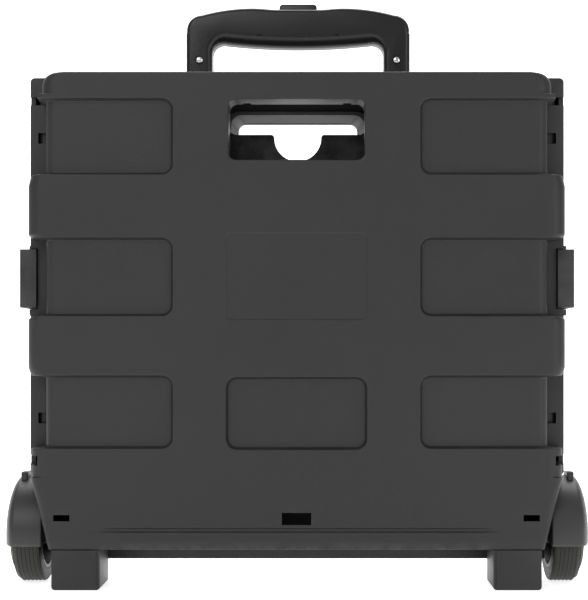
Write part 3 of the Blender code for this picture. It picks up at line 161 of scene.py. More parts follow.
def dustGroup():  # settles on what faces up
    tree, given, result = newGroup("settledDust", {"Patch Scale": 45.0, "Speck Scale": 700.0}, ["Mask"])
    coordinates = tree.nodes.new("ShaderNodeTexCoord")
    parts = tree.nodes.new("ShaderNodeSeparateXYZ")
    tree.links.new(coordinates.outputs["Normal"], parts.inputs["Vector"])
    upward = rangeNode(tree, parts.outputs["Z"], 0.25, 1.0)
    patches = noiseNode(tree, coordinates.outputs["Object"], given.outputs["Patch Scale"])
    patches = rangeNode(tree, patches, 0.35, 0.7)
    specks = noiseNode(tree, coordinates.outputs["Object"], given.outputs["Speck Scale"], 1.0)
    specks = rangeNode(tree, specks, 0.62, 0.74, 0.0, 0.25)
    mask = mathNode(tree, "MAXIMUM", mathNode(tree, "MULTIPLY", upward, patches), specks)
    tree.links.new(mask, result.inputs["Mask"])
    return tree


def brushGroup():  # drawn lines that run up the tubes
    tree, given, result = newGroup("drawnLines", {"Across": 1600.0, "Along": 9.0}, ["Height", "Tone"])
    parts = tree.nodes.new("ShaderNodeSeparateXYZ")
    tree.links.new(tree.nodes.new("ShaderNodeTexCoord").outputs["Object"], parts.inputs["Vector"])
    joined = tree.nodes.new("ShaderNodeCombineXYZ")
    for axis, scale in (("X", "Across"), ("Y", "Across"), ("Z", "Along")):
        stretched = mathNode(tree, "MULTIPLY", parts.outputs[axis], given.outputs[scale])
        tree.links.new(stretched, joined.inputs[axis])
    lines = noiseNode(tree, joined.outputs["Vector"], 1.0, 2.0)
    tree.links.new(lines, result.inputs["Height"])
    tree.links.new(rangeNode(tree, lines, 0.3, 0.7), result.inputs["Tone"])
    return tree


groups = {"grain": grainGroup(), "wear": wearGroup(), "dust": dustGroup(), "brush": brushGroup()}


def useGroup(tree, group, values):
    node = tree.nodes.new("ShaderNodeGroup")
    node.node_tree = groups[group]
    for label, value in values.items():
        node.inputs[label].default_value = value
    return node


def mixColour(tree, factor, first, second):
    node = tree.nodes.new("ShaderNodeMix")
    node.data_type = "RGBA"
    tree.links.new(factor, node.inputs["Factor"])
    for socket, colour in ((node.inputs["A"], first), (node.inputs["B"], second)):
        if isinstance(colour, bpy.types.NodeSocket):
            tree.links.new(colour, socket)
        else:
            socket.default_value = (*colour, 1.0)
    return node.outputs["Result"]


def finishMaterial(name, look):
    material = bpy.data.materials.new(name)
    material.use_nodes = True
    tree = material.node_tree
    shader = tree.nodes["Principled BSDF"]
    surface = useGroup(tree, look["pattern"], look["patternValues"])
    colour = mixColour(tree, surface.outputs["Tone"], look["dark"], look["light"])
    rough = rangeNode(tree, surface.outputs["Tone"], 0.25, 0.75, *look["roughness"])
    # lighter edges mixed into the colour: a painted edge highlight with a little rubbed wear
    if look["wear"]:
        wear = useGroup(tree, "wear", {"Start": look["wearStart"], "End": look["wearEnd"]})
        amount = mathNode(tree, "MULTIPLY", wear.outputs["Mask"], look["wear"])
        colour = mixColour(tree, amount, colour, look["wornAndHighlightColour"])
    if look["dust"]:
        dust = useGroup(tree, "dust", {"Patch Scale": look["dustScale"]})
        amount = mathNode(tree, "MULTIPLY", dust.outputs["Mask"], look["dust"])
        colour = mixColour(tree, amount, colour, look["dustColour"])
        rough = mathNode(tree, "ADD", rough, mathNode(tree, "MULTIPLY", amount, 0.5))
    bump = tree.nodes.new("ShaderNodeBump")
    bump.inputs["Strength"].default_value = look["bump"]
    bump.inputs["Distance"].default_value = look["bumpDistance"]
    tree.links.new(surface.outputs["Height"], bump.inputs["Height"])
    tree.links.new(bump.outputs["Normal"], shader.inputs["Normal"])
    tree.links.new(colour, shader.inputs["Base Color"])
    tree.links.new(rough, shader.inputs["Roughness"])
    shader.inputs["Metallic"].default_value = look["metallic"]
    shader.inputs["Specular IOR Level"].default_value = look["specular"]
    return material


def plasticLook(**changes):
    look = {
        "pattern": "grain", "patternValues": {"Grain Scale": 950.0, "Flow Scale": 7.0, "Flow Height": 1.5},
        "dark": (0.0145, 0.0149, 0.0146), "light": (0.0195, 0.02, 0.0196), "roughness": (0.42, 0.52),
        # the lighter edge colour is a painted highlight with a little rubbed wear
        "wear": 0.35, "wearStart": 0.53, "wearEnd": 0.66, "wornAndHighlightColour": (0.11, 0.112, 0.11),
        "dust": 0.05, "dustScale": 45.0, "dustColour": (0.25, 0.25, 0.24),
        "bump": 0.22, "bumpDistance": 0.0004, "metallic": 0.0, "specular": 0.34,
    }
    look.update(changes)
    return look


looks = {
    "cratePlastic": plasticLook(),
    "panelPlastic": plasticLook(
        dark=(0.012, 0.0124, 0.0122), light=(0.016, 0.0166, 0.0163), roughness=(0.48, 0.6)),
    "gripPlastic": plasticLook(
        dark=(0.0058, 0.006, 0.0064), light=(0.0082, 0.0085, 0.009), roughness=(0.24, 0.33), bump=0.12),
    "tyreRubber": plasticLook(
        dark=(0.0155, 0.016, 0.0145), light=(0.021, 0.0218, 0.0196), roughness=(0.52, 0.66),
        bump=0.3, wear=0.2),
    "fenderPlastic": plasticLook(
        dark=(0.023, 0.0245, 0.023), light=(0.030, 0.032, 0.030), roughness=(0.36, 0.46), bump=0.14),
    "brushedTube": plasticLook(
        pattern="brush", patternValues={"Across": 1500.0, "Along": 8.0}, metallic=1.0, wear=0.0, dust=0.0,
        dark=(0.55, 0.56, 0.57), light=(0.70, 0.71, 0.72), roughness=(0.28, 0.42), bump=0.1),
    "brightSteel": plasticLook(
        metallic=1.0, wear=0.0, dust=0.0, dark=(0.60, 0.61, 0.62), light=(0.74, 0.75, 0.76),
        roughness=(0.16, 0.28), bump=0.04),
}
materials = {name: finishMaterial(name, look) for name, look in looks.items()}
print("finishes ready:", len(materials))


# mesh helpers

def pieceFrom(name, bm, sharpAngle=32.0):
    bmesh.ops.recalc_face_normals(bm, faces=bm.faces)
    mesh = bpy.data.meshes.new(name)
    bm.to_mesh(mesh)
    bm.free()
    piece = bpy.data.objects.new(name, mesh)
    bpy.context.scene.collection.objects.link(piece)
    shadeSmooth(piece, sharpAngle)
    return piece


def shadeSmooth(piece, sharpAngle=32.0):
    mesh = piece.data
    mesh.polygons.foreach_set("use_smooth", [True] * len(mesh.polygons))
    mesh.set_sharp_from_angle(angle=math.radians(sharpAngle))
    mesh.update()


def applyModifiers(piece):
    shaped = piece.evaluated_get(bpy.context.evaluated_depsgraph_get())
    mesh = bpy.data.meshes.new_from_object(shaped)
    piece.modifiers.clear()
    piece.data = mesh
    mesh.name = piece.name
    return piece


def combine(piece, operation, others):
    for other in others:
        modifier = piece.modifiers.new(operation, "BOOLEAN")
        modifier.operation = operation
        modifier.object = other
        applyModifiers(piece)
        bpy.data.objects.remove(other, do_unlink=True)
    return piece


def gather(name, pieces):  # one object from several that don't touch
    bm = bmesh.new()
    for piece in pieces:
        bm.from_mesh(piece.data)
        bpy.data.objects.remove(piece, do_unlink=True)
    return pieceFrom(name, bm)


def bevelEdges(piece, width, segments=2, angle=30.0):
    modifier = piece.modifiers.new("edges", "BEVEL")
    modifier.width = width
    modifier.segments = segments
    modifier.limit_method = "ANGLE"
    modifier.angle_limit = math.radians(angle)
    modifier.use_clamp_overlap = True
    modifier.harden_normals = False
    return applyModifiers(piece)


def loftRings(name, rings, sharpAngle=32.0):  # closed rings with the same count of points, capped at both ends
    bm = bmesh.new()
    loops = [[bm.verts.new(point) for point in ring] for ring in rings]
    count = len(rings[0])
    for lower, upper in zip(loops, loops[1:]):
        for k in range(count):
            following = (k + 1) % count
            bm.faces.new((lower[k], lower[following], upper[following], upper[k]))
    bm.faces.new(list(reversed(loops[0])))
    bm.faces.new(loops[-1])
    return pieceFrom(name, bm, sharpAngle)


def roundedOutline(uLimits, vLimits, radius, steps=6):
    points = []
    corners = ((1, 1, 0), (0, 1, 1), (0, 0, 2), (1, 0, 3))
    for uSide, vSide, quarter in corners:
        centreU = uLimits[uSide] + (radius if uSide == 0 else -radius)
        centreV = vLimits[vSide] + (radius if vSide == 0 else -radius)
        for step in range(steps + 1):
            angle = (quarter + step / steps) * quarterTurn
            points.append((centreU + radius * math.cos(angle), centreV + radius * math.sin(angle)))
    return points


def placed(axis, u, v, w):
    return {"x": at(w, u, v), "y": at(u, w, v), "z": at(u, v, w)}[axis]


def insetOutline(outline, amount):
    # moves every point inward along the mean of its two edge normals
    moved = []
    count = len(outline)
    for k, (u, v) in enumerate(outline):
        before = outline[k - 1]
        after = outline[(k + 1) % count]
        along = Vector((after[0] - before[0], after[1] - before[1])).normalized()
        moved.append((u - along.y * amount, v + along.x * amount))
    return moved


def softPrism(name, outline, axis, limits, radius, steps=3):
    # the outline runs anticlockwise, and both ends are rounded
    rings = []
    low, high = limits
    for step in range(steps + 1):
        angle = step / steps * quarterTurn
        rings.append((low + radius * (1 - math.sin(angle)), radius * (1 - math.cos(angle))))
    rings = [(w, inset) for w, inset in reversed(rings)]
    rings += [(low + high - w, inset) for w, inset in reversed(rings)]
    points = [[placed(axis, u, v, w) for u, v in insetOutline(outline, inset)] for w, inset in rings]
    return loftRings(name, points)


def plainPrism(name, outline, axis, limits):
    return loftRings(name, [[placed(axis, u, v, w) for u, v in outline] for w in limits])


def plainBlock(name, x, depth, z):
    outline = [(min(x), min(depth)), (max(x), min(depth)), (max(x), max(depth)), (min(x), max(depth))]
    return plainPrism(name, outline, "z", (min(z), max(z)))


def circleAt(centre, radius, segments):
    angles = [k / segments * 2 * math.pi for k in range(segments)]
    return [(centre[0] + radius * math.cos(angle), centre[1] + radius * math.sin(angle)) for angle in angles]


def roundBar(name, axis, centre, limits, radius, segments=24, edge=0.0):
    outline = circleAt(centre, radius, segments)
    if edge:
        return softPrism(name, outline, axis, limits, edge, 2)
    return plainPrism(name, outline, axis, limits)


def handOver(piece, body, material, nodes=()):  # last step for every piece
    piece.data.materials.clear()
    piece.data.materials.append(materials[material])
    for polygon in piece.data.polygons:
        polygon.material_index = 0
    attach(piece, body)
    if nodes:
        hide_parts(*nodes)
    return piece


def bodyOf(node):
    return frame["nodes"][node]["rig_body"]


def softenedCopy(node, material, bevel=0.0003, segments=2):
    bm = bmesh.new()
    bm.from_mesh(frame["nodes"][node].data)
    bmesh.ops.remove_doubles(bm, verts=bm.verts, dist=1e-6)
    bmesh.ops.dissolve_limit(bm, angle_limit=math.radians(0.5), verts=bm.verts, edges=bm.edges)
    piece = pieceFrom("soft_" + node, bm)
    if bevel:
        bevelEdges(piece, bevel, segments)
    shadeSmooth(piece)
    return handOver(piece, bodyOf(node), material, [node])


# the two crate shells

shell = {
    "halfWidth": 0.2097, "corner": 0.012, "height": 0.406, "wall": 0.003,
    "topBand": 0.389, "topBandHalfWidth": 0.201, "topCorner": 0.010, "topEdge": 0.0016,
    "taperTop": 0.090, "sideRecess": 0.198, "sideCorner": 0.008, "recessDepth": 0.0048, "draft": 0.0024,
    "bandSwell": 0.0021,
    "rimHalfWidth": 0.2135, "rimDepth": 0.012, "rimBottom": 0.088,
    "fenderClear": 0.1993, "gap": 0.0003, "split": 0.038,
    "rows": ((0.1105, 0.1685), (0.2143, 0.2764), (0.3251, 0.3857)), "rowInner": 0.0965, "rowRadius": 0.009,
    "handHalfWidth": 0.0535, "handHeights": (0.337, 0.3845), "handRadius": 0.0063,
    "backHandHalf": 0.0488, "backHandTop": 0.374, "handNotchX": (0.0368, 0.0432),
    "hingeX": 0.2035, "barrel": 0.0039, "hingeOffset": 0.0045, "pinBore": 0.0021,
    "lugs": ((0.0895, 0.0985), (0.290, 0.304), (0.393, 0.4015)),
}
frontShell = {
    "bottom": 0.0318, "bottomHalfWidth": 0.1946, "lowEnd": 0.0077, "bottomEdge": 0.0010, "lowCorner": 0.004,
    "middle": (0.0556, 0.1097, 0.1673), "label": (0.0553, 0.2114, 0.2802), "labelDepth": 0.0006,
    "groove": (0.186, 0.045, 0.049), "grooveDepth": 0.0013, "sillRib": 0.0615,
    "slotX": 0.184, "slotHalf": 0.0064, "slotHeights": (0.054, 0.059),
    "middleSlot": (0.0115, 0.051, 0.0607), "collarDepth": 0.025,
    "windowX": (0.1992, 0.2072), "windows": ((0.1295, 0.1381), (0.3533, 0.3619)),
    "peepX": 0.203, "peeps": ((0.0975, 0.105), (0.384, 0.3905)),
    "latchX": 0.2074, "latchRoom": (0.2211, 0.2694),
}
backShell = {"bottom": 0.0588, "face": 0.062, "rowDepth": 0.0013}


def easeStep(value):
    value = min(max(value, 0.0), 1.0)
    return value * value * (3 - 2 * value)


def insideRounded(x, z, xLimits, zLimits, radius):  # how far a point lies inside a rounded rectangle
    across = abs(x - sum(xLimits) / 2) - (xLimits[1] - xLimits[0]) / 2 + radius
    up = abs(z - sum(zLimits) / 2) - (zLimits[1] - zLimits[0]) / 2 + radius
    return radius - math.hypot(max(across, 0), max(up, 0)) - min(max(across, up), 0)


def frontPockets(grow):  # each: x limits, z limits, corner radius, share of the full recess, draft
    draft = shell["draft"]
    radius = shell["rowRadius"]
    made = [((shell["rowInner"] - grow, 0.5), (low - grow, high + grow), radius, 1.0, draft)
            for low, high in shell["rows"]]
    half, low, high = frontShell["middle"]
    made.append(((-half - grow, half + grow), (low - grow, high + grow), radius, 1.0, draft))
    if not grow:
        half, low, high = frontShell["label"]
        share = frontShell["labelDepth"] / shell["recessDepth"]
        made.append(((-half, half), (low, high), 0.004, share, 0.0009))
        half, low, high = frontShell["groove"]
        share = frontShell["grooveDepth"] / shell["recessDepth"]
        made.append(((-half, half), (low, high), 0.0019, share, 0.0011))
    return made


def backPockets(grow):
    share = backShell["rowDepth"] / shell["recessDepth"]
    made = [((0.109, 0.186), limits, shell["rowRadius"], share, 0.0016) for limits in shell["rows"]]
    return [] if grow else made


def recessShare(pockets, x, z):
    shares = [share * easeStep(insideRounded(x, z, xs, zs, radius) / draft)
              for xs, zs, radius, share, draft in pockets]
    return max(shares, default=0.0)


def gridLevels(low, high, step, edges):
    levels = []
    count = max(2, round((high - low) / step))
    levels += [low + (high - low) * k / count for k in range(count + 1)]
    for edge, inward, draft in edges:
        fine = [-0.25, 0.0, 0.12, 0.28, 0.42, 0.58, 0.72, 0.88, 1.0, 1.25]
        levels += [edge + inward * draft * part for part in fine]
        levels += [edge + inward * (draft + k * 0.0011) for k in range(1, 8)]
    levels = sorted(level for level in levels if low <= level <= high)
    kept = [levels[0]]
    for level in levels[1:-1]:
        if level - kept[-1] > 0.00022:
            kept.append(level)
    if levels[-1] - kept[-1] < 0.0002:
        kept.pop()
    return kept + [levels[-1]]


def zLevels(low, high, pockets):
    edges = []
    for pocket in pockets:
        zs, draft = pocket[1], pocket[4]
        edges += [(zs[0], 1, draft), (zs[1], -1, draft)]
    return gridLevels(low, high, 0.009, edges)


def xLevels(high, pockets):
    edges = []
    for pocket in pockets:
        xs, draft = pocket[0], pocket[4]
        edges += [(xs[0], 1, draft), (xs[1], -1, draft)]
    return gridLevels(0.0, high, 0.010, edges)


def bandSwell(z):  # the plain bands between the rows stand a little proud at the sides
    swell = 0.0
    for below, above in zip(shell["rows"], shell["rows"][1:]):
        rise = easeStep((z - below[1]) / shell["draft"]) * easeStep((above[0] - z) / shell["draft"])
        swell = max(swell, shell["bandSwell"] * rise)
    return swell


def halfWidthAt(z, bottom, bottomHalf, grow):
    top = shell["height"] - grow
    if z < shell["taperTop"] + grow:
        rise = (z - bottom) / (shell["taperTop"] - bottom)
        width = bottomHalf + (shell["halfWidth"] - bottomHalf) * min(max(rise, 0), 1)
        if grow:
            width = min(width, shell["fenderClear"])
    elif z < shell["topBand"] - grow:
        width = shell["halfWidth"] + (0.0 if grow else bandSwell(z))
    else:
        width = shell["topBandHalfWidth"]
        into = z - (top - shell["topCorner"])
        if into > 0:
            width -= shell["topCorner"] - math.sqrt(max(shell["topCorner"] ** 2 - into ** 2, 0))
    return width - grow


def shellRings(levels, pockets, grow, end, bottom, bottomHalf, lowEnd):
    # one closed plan ring for each height: across the face, round the corner, back along the side
    limit = shell["halfWidth"] - shell["corner"]
    xs = xLevels(limit, pockets)
    rowEnd = shell["sideRecess"] - shell["sideCorner"]
    rings = []
    for z in levels:
        width = halfWidthAt(z, bottom, bottomHalf, grow)
        low = z < shell["rimBottom"] and lowEnd is not None
        ringEnd = lowEnd if low else end
        corner = shell["corner"] - grow
        if z < shell["taperTop"] and not grow:
            rise = (z - bottom) / (shell["taperTop"] - bottom)
            corner = frontShell["lowCorner"] + (shell["corner"] - frontShell["lowCorner"]) * rise ** 2
            corner = min(corner, ringEnd * 0.8)
        edge = 0.0
        if not grow:
            nearTop = z - (shell["height"] - shell["topEdge"])
            nearBottom = bottom + frontShell["bottomEdge"] - z
            if nearTop > 0:
                edge = shell["topEdge"] - math.sqrt(max(shell["topEdge"] ** 2 - nearTop ** 2, 0))
            elif nearBottom > 0:
                easing = frontShell["bottomEdge"]
                edge = easing - math.sqrt(max(easing ** 2 - nearBottom ** 2, 0))
        band = []
        row = []
        inner = shell["sideRecess"] - grow
        for x in xs:
            bandX = x if x < 0.150 else 0.150 + (x - 0.150) * (width - corner - 0.150) / (limit - 0.150)
            rowX = x if x < 0.150 else 0.150 + (x - 0.150) * (rowEnd - 0.150) / (limit - 0.150)
            band.append((bandX, grow + edge))
            row.append((rowX, grow + shell["recessDepth"]))
        for step in range(1, 9):
            angle = step / 8 * quarterTurn
            across = 1 - math.sin(angle)
            back = 1 - math.cos(angle)
            band.append((width - corner * across, grow + edge + (corner - edge) * back))
            sideCorner = shell["sideCorner"] - grow
            row.append((inner - sideCorner * across, grow + shell["recessDepth"] + sideCorner * back))
        startBand = band[-1][1]
        startRow = row[-1][1]
        for step in range(1, 5):
            band.append((width, startBand + (ringEnd - startBand) * step / 4))
            row.append((inner, startRow + (end - startRow) * step / 4))
        half = []
        for (bandX, bandDepth), (rowX, rowDepth) in zip(band, row):
            share = recessShare(pockets, min(bandX, 0.150), z)
            full = recessShare([p for p in pockets if p[0][1] > 0.3], min(bandX, 0.150), z)
            x = bandX + (rowX - bandX) * full
            half.append((x, bandDepth + (rowDepth - bandDepth) * (share if bandX < 0.150 else full)))
        rings.append((z, half))
    return rings


def loftShell(name, rings, mirrorDepth=None):
    points = []
    for z, half in rings:
        if mirrorDepth is not None:
            half = [(x, mirrorDepth - depth) for x, depth in half]
        ring = [at(x, depth, z) for x, depth in half]
        ring += [at(-x, depth, z) for x, depth in reversed(half[1:])]
        points.append(ring)
    return loftRings(name, points)


def lugPieces(depth):
    lugs = []
    for side in (-1, 1):
        for limits in shell["lugs"]:
            outline = []
            for step in range(13):
                angle = math.pi * (0.5 + step / 12)
                outline.append((side * (shell["hingeX"] + shell["barrel"] * math.cos(angle)),
                                depth + shell["barrel"] * math.sin(angle)))
            root = side * (shell["rimHalfWidth"] - shell["wall"] / 2)
            outline += [(root, depth - shell["barrel"]), (root, depth + shell["barrel"])]
            lugs.append(plainPrism("lug", outline, "z", limits))
    return lugs


def lugBores(depth):
    limits = (shell["lugs"][0][0] - shell["gap"], shell["lugs"][2][1] - shell["wall"] / 2)
    centres = [(side * shell["hingeX"], depth) for side in (-1, 1)]
    return [roundBar("bore", "z", centre, limits, shell["pinBore"], 20) for centre in centres]


def rimPiece(near, far):
    outline = roundedOutline((-shell["rimHalfWidth"], shell["rimHalfWidth"]),
                             (shell["rimBottom"], shell["height"]), 0.0035, 6)
    return softPrism("rim", outline, "y", (near, far), 0.0007, 3)


def handCutter(face, inward, far, half, high):  # the mouth is flared so that its edge catches light
    rings = []
    low = shell["handHeights"][0]
    flare = ((-0.004, 0.0012), (0.0, 0.0007), (0.0002, 0.0004), (0.0005, 0.0001), (0.0009, 0.0), (far, 0.0))
    for depth, margin in flare:
        xs = (-half - margin, half + margin)
        outline = roundedOutline(xs, (low - margin, high + margin), shell["handRadius"] + margin, 8)
        rings.append([at(x, face + inward * depth, z) for x, z in outline])
    return loftRings("handCutter", rings)


def rimHeights():
    return shell["rimBottom"] + shell["wall"], shell["height"] - shell["wall"]


def buildFrontShell():
    end = shell["split"] - shell["gap"]
    past = end + 0.03
    pockets = frontPockets(0.0)
    levels = zLevels(frontShell["bottom"], shell["height"], pockets)
    extra = [shell["rimBottom"] - 0.00004, shell["rimBottom"]]
    extra += [shell["topBand"] - 0.0004, shell["topBand"] + 0.0004]
    extra += [shell["height"] - shell["topEdge"] * part for part in (0.06, 0.2, 0.4, 0.7)]
    extra += [frontShell["bottom"] + frontShell["bottomEdge"] * part for part in (0.06, 0.2, 0.4, 0.7)]
    extra += [shell["height"] - shell["topCorner"] * (1 - math.sin(k / 8 * quarterTurn)) for k in range(8)]
    levels = sorted(set(levels + extra))
    rings = shellRings(
        levels, pockets, 0.0, end, frontShell["bottom"], frontShell["bottomHalfWidth"], frontShell["lowEnd"])
    piece = loftShell("frontShell", rings)
    lowHalf = shell["fenderClear"]
    slope = (shell["halfWidth"] - frontShell["bottomHalfWidth"]) / (shell["taperTop"] - frontShell["bottom"])
    meet = frontShell["bottom"] + (lowHalf - frontShell["bottomHalfWidth"]) / slope
    base = frontShell["bottom"]
    narrow = frontShell["bottomHalfWidth"] - 0.00025
    side = [(narrow, base + 0.0002), (lowHalf - 0.00015, meet), (lowHalf - 0.00015, 0.0935)]
    outline = side + [(-x, z) for x, z in reversed(side)]
    lower = softPrism("lower", outline, "y", (0.0055, end), 0.0006, 2)
    combine(piece, "UNION", [lower, rimPiece(end - shell["rimDepth"], end)])
    grown = frontPockets(shell["wall"])
    wall = shell["wall"]
    inside = zLevels(frontShell["sillRib"] + wall, shell["height"] - wall, grown)
    bandInside = shell["topBand"] - wall
    inside = sorted(set(inside + [shell["taperTop"] + wall, bandInside - 0.0002, bandInside]))
    cavity = shellRings(inside, grown, wall, past, frontShell["bottom"], shell["fenderClear"], None)
    combine(piece, "DIFFERENCE", [loftShell("cavity", cavity)])
    rimInside = shell["rimHalfWidth"] - 0.0036
    sill = frontShell["bottomHalfWidth"] - wall
    collar = roundedOutline((-shell["handHalfWidth"] - wall, shell["handHalfWidth"] + wall),
                            (shell["handHeights"][0] - wall, shell["handHeights"][1] + wall),
                            shell["handRadius"] + wall)
    combine(piece, "DIFFERENCE", [
        plainBlock("rimRoom", (-rimInside, rimInside), (end - shell["rimDepth"] + wall, past), rimHeights()),
        plainBlock("sill", (-sill, sill), (wall, past), (base + wall, frontShell["sillRib"]))])
    collarPiece = softPrism("collar", collar, "y", (wall / 2, frontShell["collarDepth"]), 0.0008, 2)
    combine(piece, "UNION", [collarPiece, gather("lugs", lugPieces(shell["split"] - shell["hingeOffset"]))])
    flange = end - shell["rimDepth"]
    cutters = lugBores(shell["split"] - shell["hingeOffset"])
    top = shell["handHeights"][1]
    for way in (-1, 1):
        x = (way * shell["handNotchX"][0], way * shell["handNotchX"][1])
        cutters.append(plainBlock("handNotch", x, (0.0195, 0.03), (top - 0.0002, top + 0.006)))
    half, low, high = frontShell["middleSlot"]
    cutters.append(plainBlock("slot", (-half, half), (-0.01, wall + 0.0005), (low, high)))
    for way in (-1, 1):
        x = [way * (frontShell["slotX"] + reach * frontShell["slotHalf"]) for reach in (-1, 1)]
        cutters.append(plainBlock("slot", x, (-0.01, wall + 0.0005), frontShell["slotHeights"]))
        for heights in frontShell["windows"]:
            x = (way * frontShell["windowX"][0], way * frontShell["windowX"][1])
            cutters.append(plainBlock("window", x, (flange - wall, flange + 2 * wall), heights))
        for heights in frontShell["peeps"]:
            peepX = (way * frontShell["peepX"], way * 0.3)
            cutters.append(plainBlock("peep", peepX, (-0.01, flange + wall + 0.0003), heights))
        latchX = (way * frontShell["latchX"], way * 0.3)
        cutters.append(plainBlock("latchRoom", latchX, (-0.01, 0.08), frontShell["latchRoom"]))
    hand = handCutter(0.0, 1, 0.08, shell["handHalfWidth"], shell["handHeights"][1])
    combine(piece, "DIFFERENCE", [gather("smallCuts", cutters), hand])
    shadeSmooth(piece, 34)
    return handOver(piece, "front", "cratePlastic", ["front_shell"])


def buildBackShell():
    face = backShell["face"]
    start = shell["split"] + shell["gap"]
    end = face - start
    wall = shell["wall"]
    pockets = frontPockets(0.0)[:3]
    pockets = [((0.1985, 0.5), *pocket[1:]) for pocket in pockets]
    shallow = backPockets(0.0)
    levels = zLevels(shell["rimBottom"] - 0.001, shell["height"], pockets)
    extra = [shell["topBand"] - 0.0004, shell["topBand"] + 0.0004]
    extra += [shell["height"] - shell["topEdge"] * part for part in (0.06, 0.2, 0.4, 0.7)]
    extra += [shell["height"] - shell["topCorner"] * (1 - math.sin(k / 8 * quarterTurn)) for k in range(8)]
    levels = sorted(set(levels + extra))
    rings = backRings(levels, shallow, end)
    piece = loftShell("backShell", rings, face)
    lowHalf = shell["fenderClear"]
    low = backShell["bottom"]
    outline = [(-lowHalf, low), (lowHalf, low), (lowHalf, 0.0935), (-lowHalf, 0.0935)]
    combine(piece, "UNION", [softPrism("lower", outline, "y", (start, face - 0.0002), 0.0012, 3),
                             rimPiece(start, start + shell["rimDepth"])])
    inside = shell["sideRecess"] - wall
    past = start - 0.03
    rimInside = shell["rimHalfWidth"] - 0.0036
    combine(piece, "DIFFERENCE", [
        plainBlock("room", (-inside, inside), (past, face - wall), (low + wall, shell["height"] - wall)),
        plainBlock("rimRoom", (-rimInside, rimInside), (past, start + shell["rimDepth"] - wall), rimHeights())])
    depth = shell["split"] + shell["hingeOffset"]
    combine(piece, "UNION", [gather("lugs", lugPieces(depth) + backEars()), backCollar(face)])
    cutters = lugBores(depth)
    for way in (-1, 1):
        pin = (way * latch["pinX"], latch["pinDepth"])
        cutters.append(roundBar("latchBore", "z", pin, (0.2, 0.29), latch["pinBore"], 20))
    hand = handCutter(face, -1, 0.0045, shell["backHandHalf"], shell["backHandTop"])
    combine(piece, "DIFFERENCE", [gather("smallCuts", cutters), hand])
    shadeSmooth(piece, 34)
    return handOver(piece, "back", "cratePlastic", ["back_shell"])


latch = {
    "heights": (0.222, 0.2685), "pinX": 0.217, "pinDepth": 0.058, "pinBore": 0.0018, "barrel": 0.0035,
    "earHeight": 0.005,
}


def backEars():
    ears = []
    for side in (-1, 1):
        for end, way in ((latch["heights"][0] - shell["gap"], -1), (latch["heights"][1] + shell["gap"], 1)):
            x = sorted((side * (shell["halfWidth"] - 0.0015), side * (latch["pinX"] + latch["barrel"])))
            depth = (latch["pinDepth"] - latch["barrel"], latch["pinDepth"] + latch["barrel"])
            outline = roundedOutline(x, depth, 0.001, 4)
            ears.append(plainPrism("ear", outline, "z", sorted((end, end + way * latch["earHeight"]))))
    baseLug = ((0.1903, 0.1978), (0.0485, 0.0605), (0.0603, 0.0708))
    for side in (-1, 1):
        ears.append(plainBlock("baseLug", (side * baseLug[0][0], side * baseLug[0][1]), baseLug[1], baseLug[2]))
    return ears


def backCollar(face):  # wall round the upper part of the back hand hole, above the folded base panel
    base = 0.3646
    deep = face - 0.019
    rings = []
    for depth, grow in ((deep, 0.0052), (face - 0.0015, 0.0)):
        half = shell["backHandHalf"] + grow
        top = shell["backHandTop"] + grow
        radius = shell["handRadius"] + 0.002
        inner = [(half, base)]
        for step in range(9):
            angle = step / 8 * quarterTurn
            inner.append((half - radius * (1 - math.cos(angle)), top - radius * (1 - math.sin(angle))))
        outer = [(x * (1 + 0.0026 / half), z + 0.0026 * max(0.0, (z - base) / (top - base))) for x, z in inner]
        inner = inner + [(-x, z) for x, z in reversed(inner)]
        outer = outer + [(-x, z) for x, z in reversed(outer)]
        rings.append([at(x, depth, z) for x, z in inner + list(reversed(outer))])
    return loftRings("backCollar", rings)


def backRings(levels, shallow, end):
    xs = xLevels(shell["halfWidth"] - shell["corner"], shallow)
    rings = []
    for z in levels:
        width = halfWidthAt(z, 0.0, shell["halfWidth"], 0.0)
        nearTop = z - (shell["height"] - shell["topEdge"])
        edge = 0.0
        if nearTop > 0:
            edge = shell["topEdge"] - math.sqrt(max(shell["topEdge"] ** 2 - nearTop ** 2, 0))
        full = 0.0
        for low, high in shell["rows"]:
            full = max(full, easeStep(min(z - low, high - z) / shell["draft"]))
        side = width + (shell["sideRecess"] - width) * full
        half = []
        corner = shell["corner"]
        for x in xs:
            placedX = x if x < 0.150 else 0.150 + (x - 0.150) * (side - corner - 0.150) / (xs[-1] - 0.150)
            share = recessShare(shallow, placedX, z)
            half.append((placedX, edge + shell["recessDepth"] * share))
        for step in range(1, 9):
            angle = step / 8 * quarterTurn
            half.append((side - corner * (1 - math.sin(angle)), edge + (corner - edge) * (1 - math.cos(angle))))
        for step in range(1, 4):
            half.append((side, corner + (end - corner) * step / 3))
        rings.append((z, half))
    return rings


buildFrontShell()
print("front shell done")
buildBackShell()
print("back shell done")


# wheels and fenders

wheel = {
    "radius": 0.040, "innerX": 0.2042, "outerX": 0.2325, "dome": 0.010, "axleDepth": 0.054, "axleHeight": 0.040,
    "rim": 0.0303, "shoulder": 0.002, "ribCount": 8, "firstRib": 0.2066, "lastRib": 0.2290,
    "ribRadius": 0.00048,
    "inset": 0.0004,
}
fender = {
    "radius": 0.046, "wall": 0.0018, "innerX": 0.2015, "domeStart": 0.2234, "outerX": 0.2355,
    "frontEdge": 0.033, "rearEdge": 0.0395, "bore": 0.0043, "tabX": (0.2183, 0.2237),
    "tabDepth": (0.038, 0.056),
    "tabTop": 0.0896, "edge": 0.00045,
}


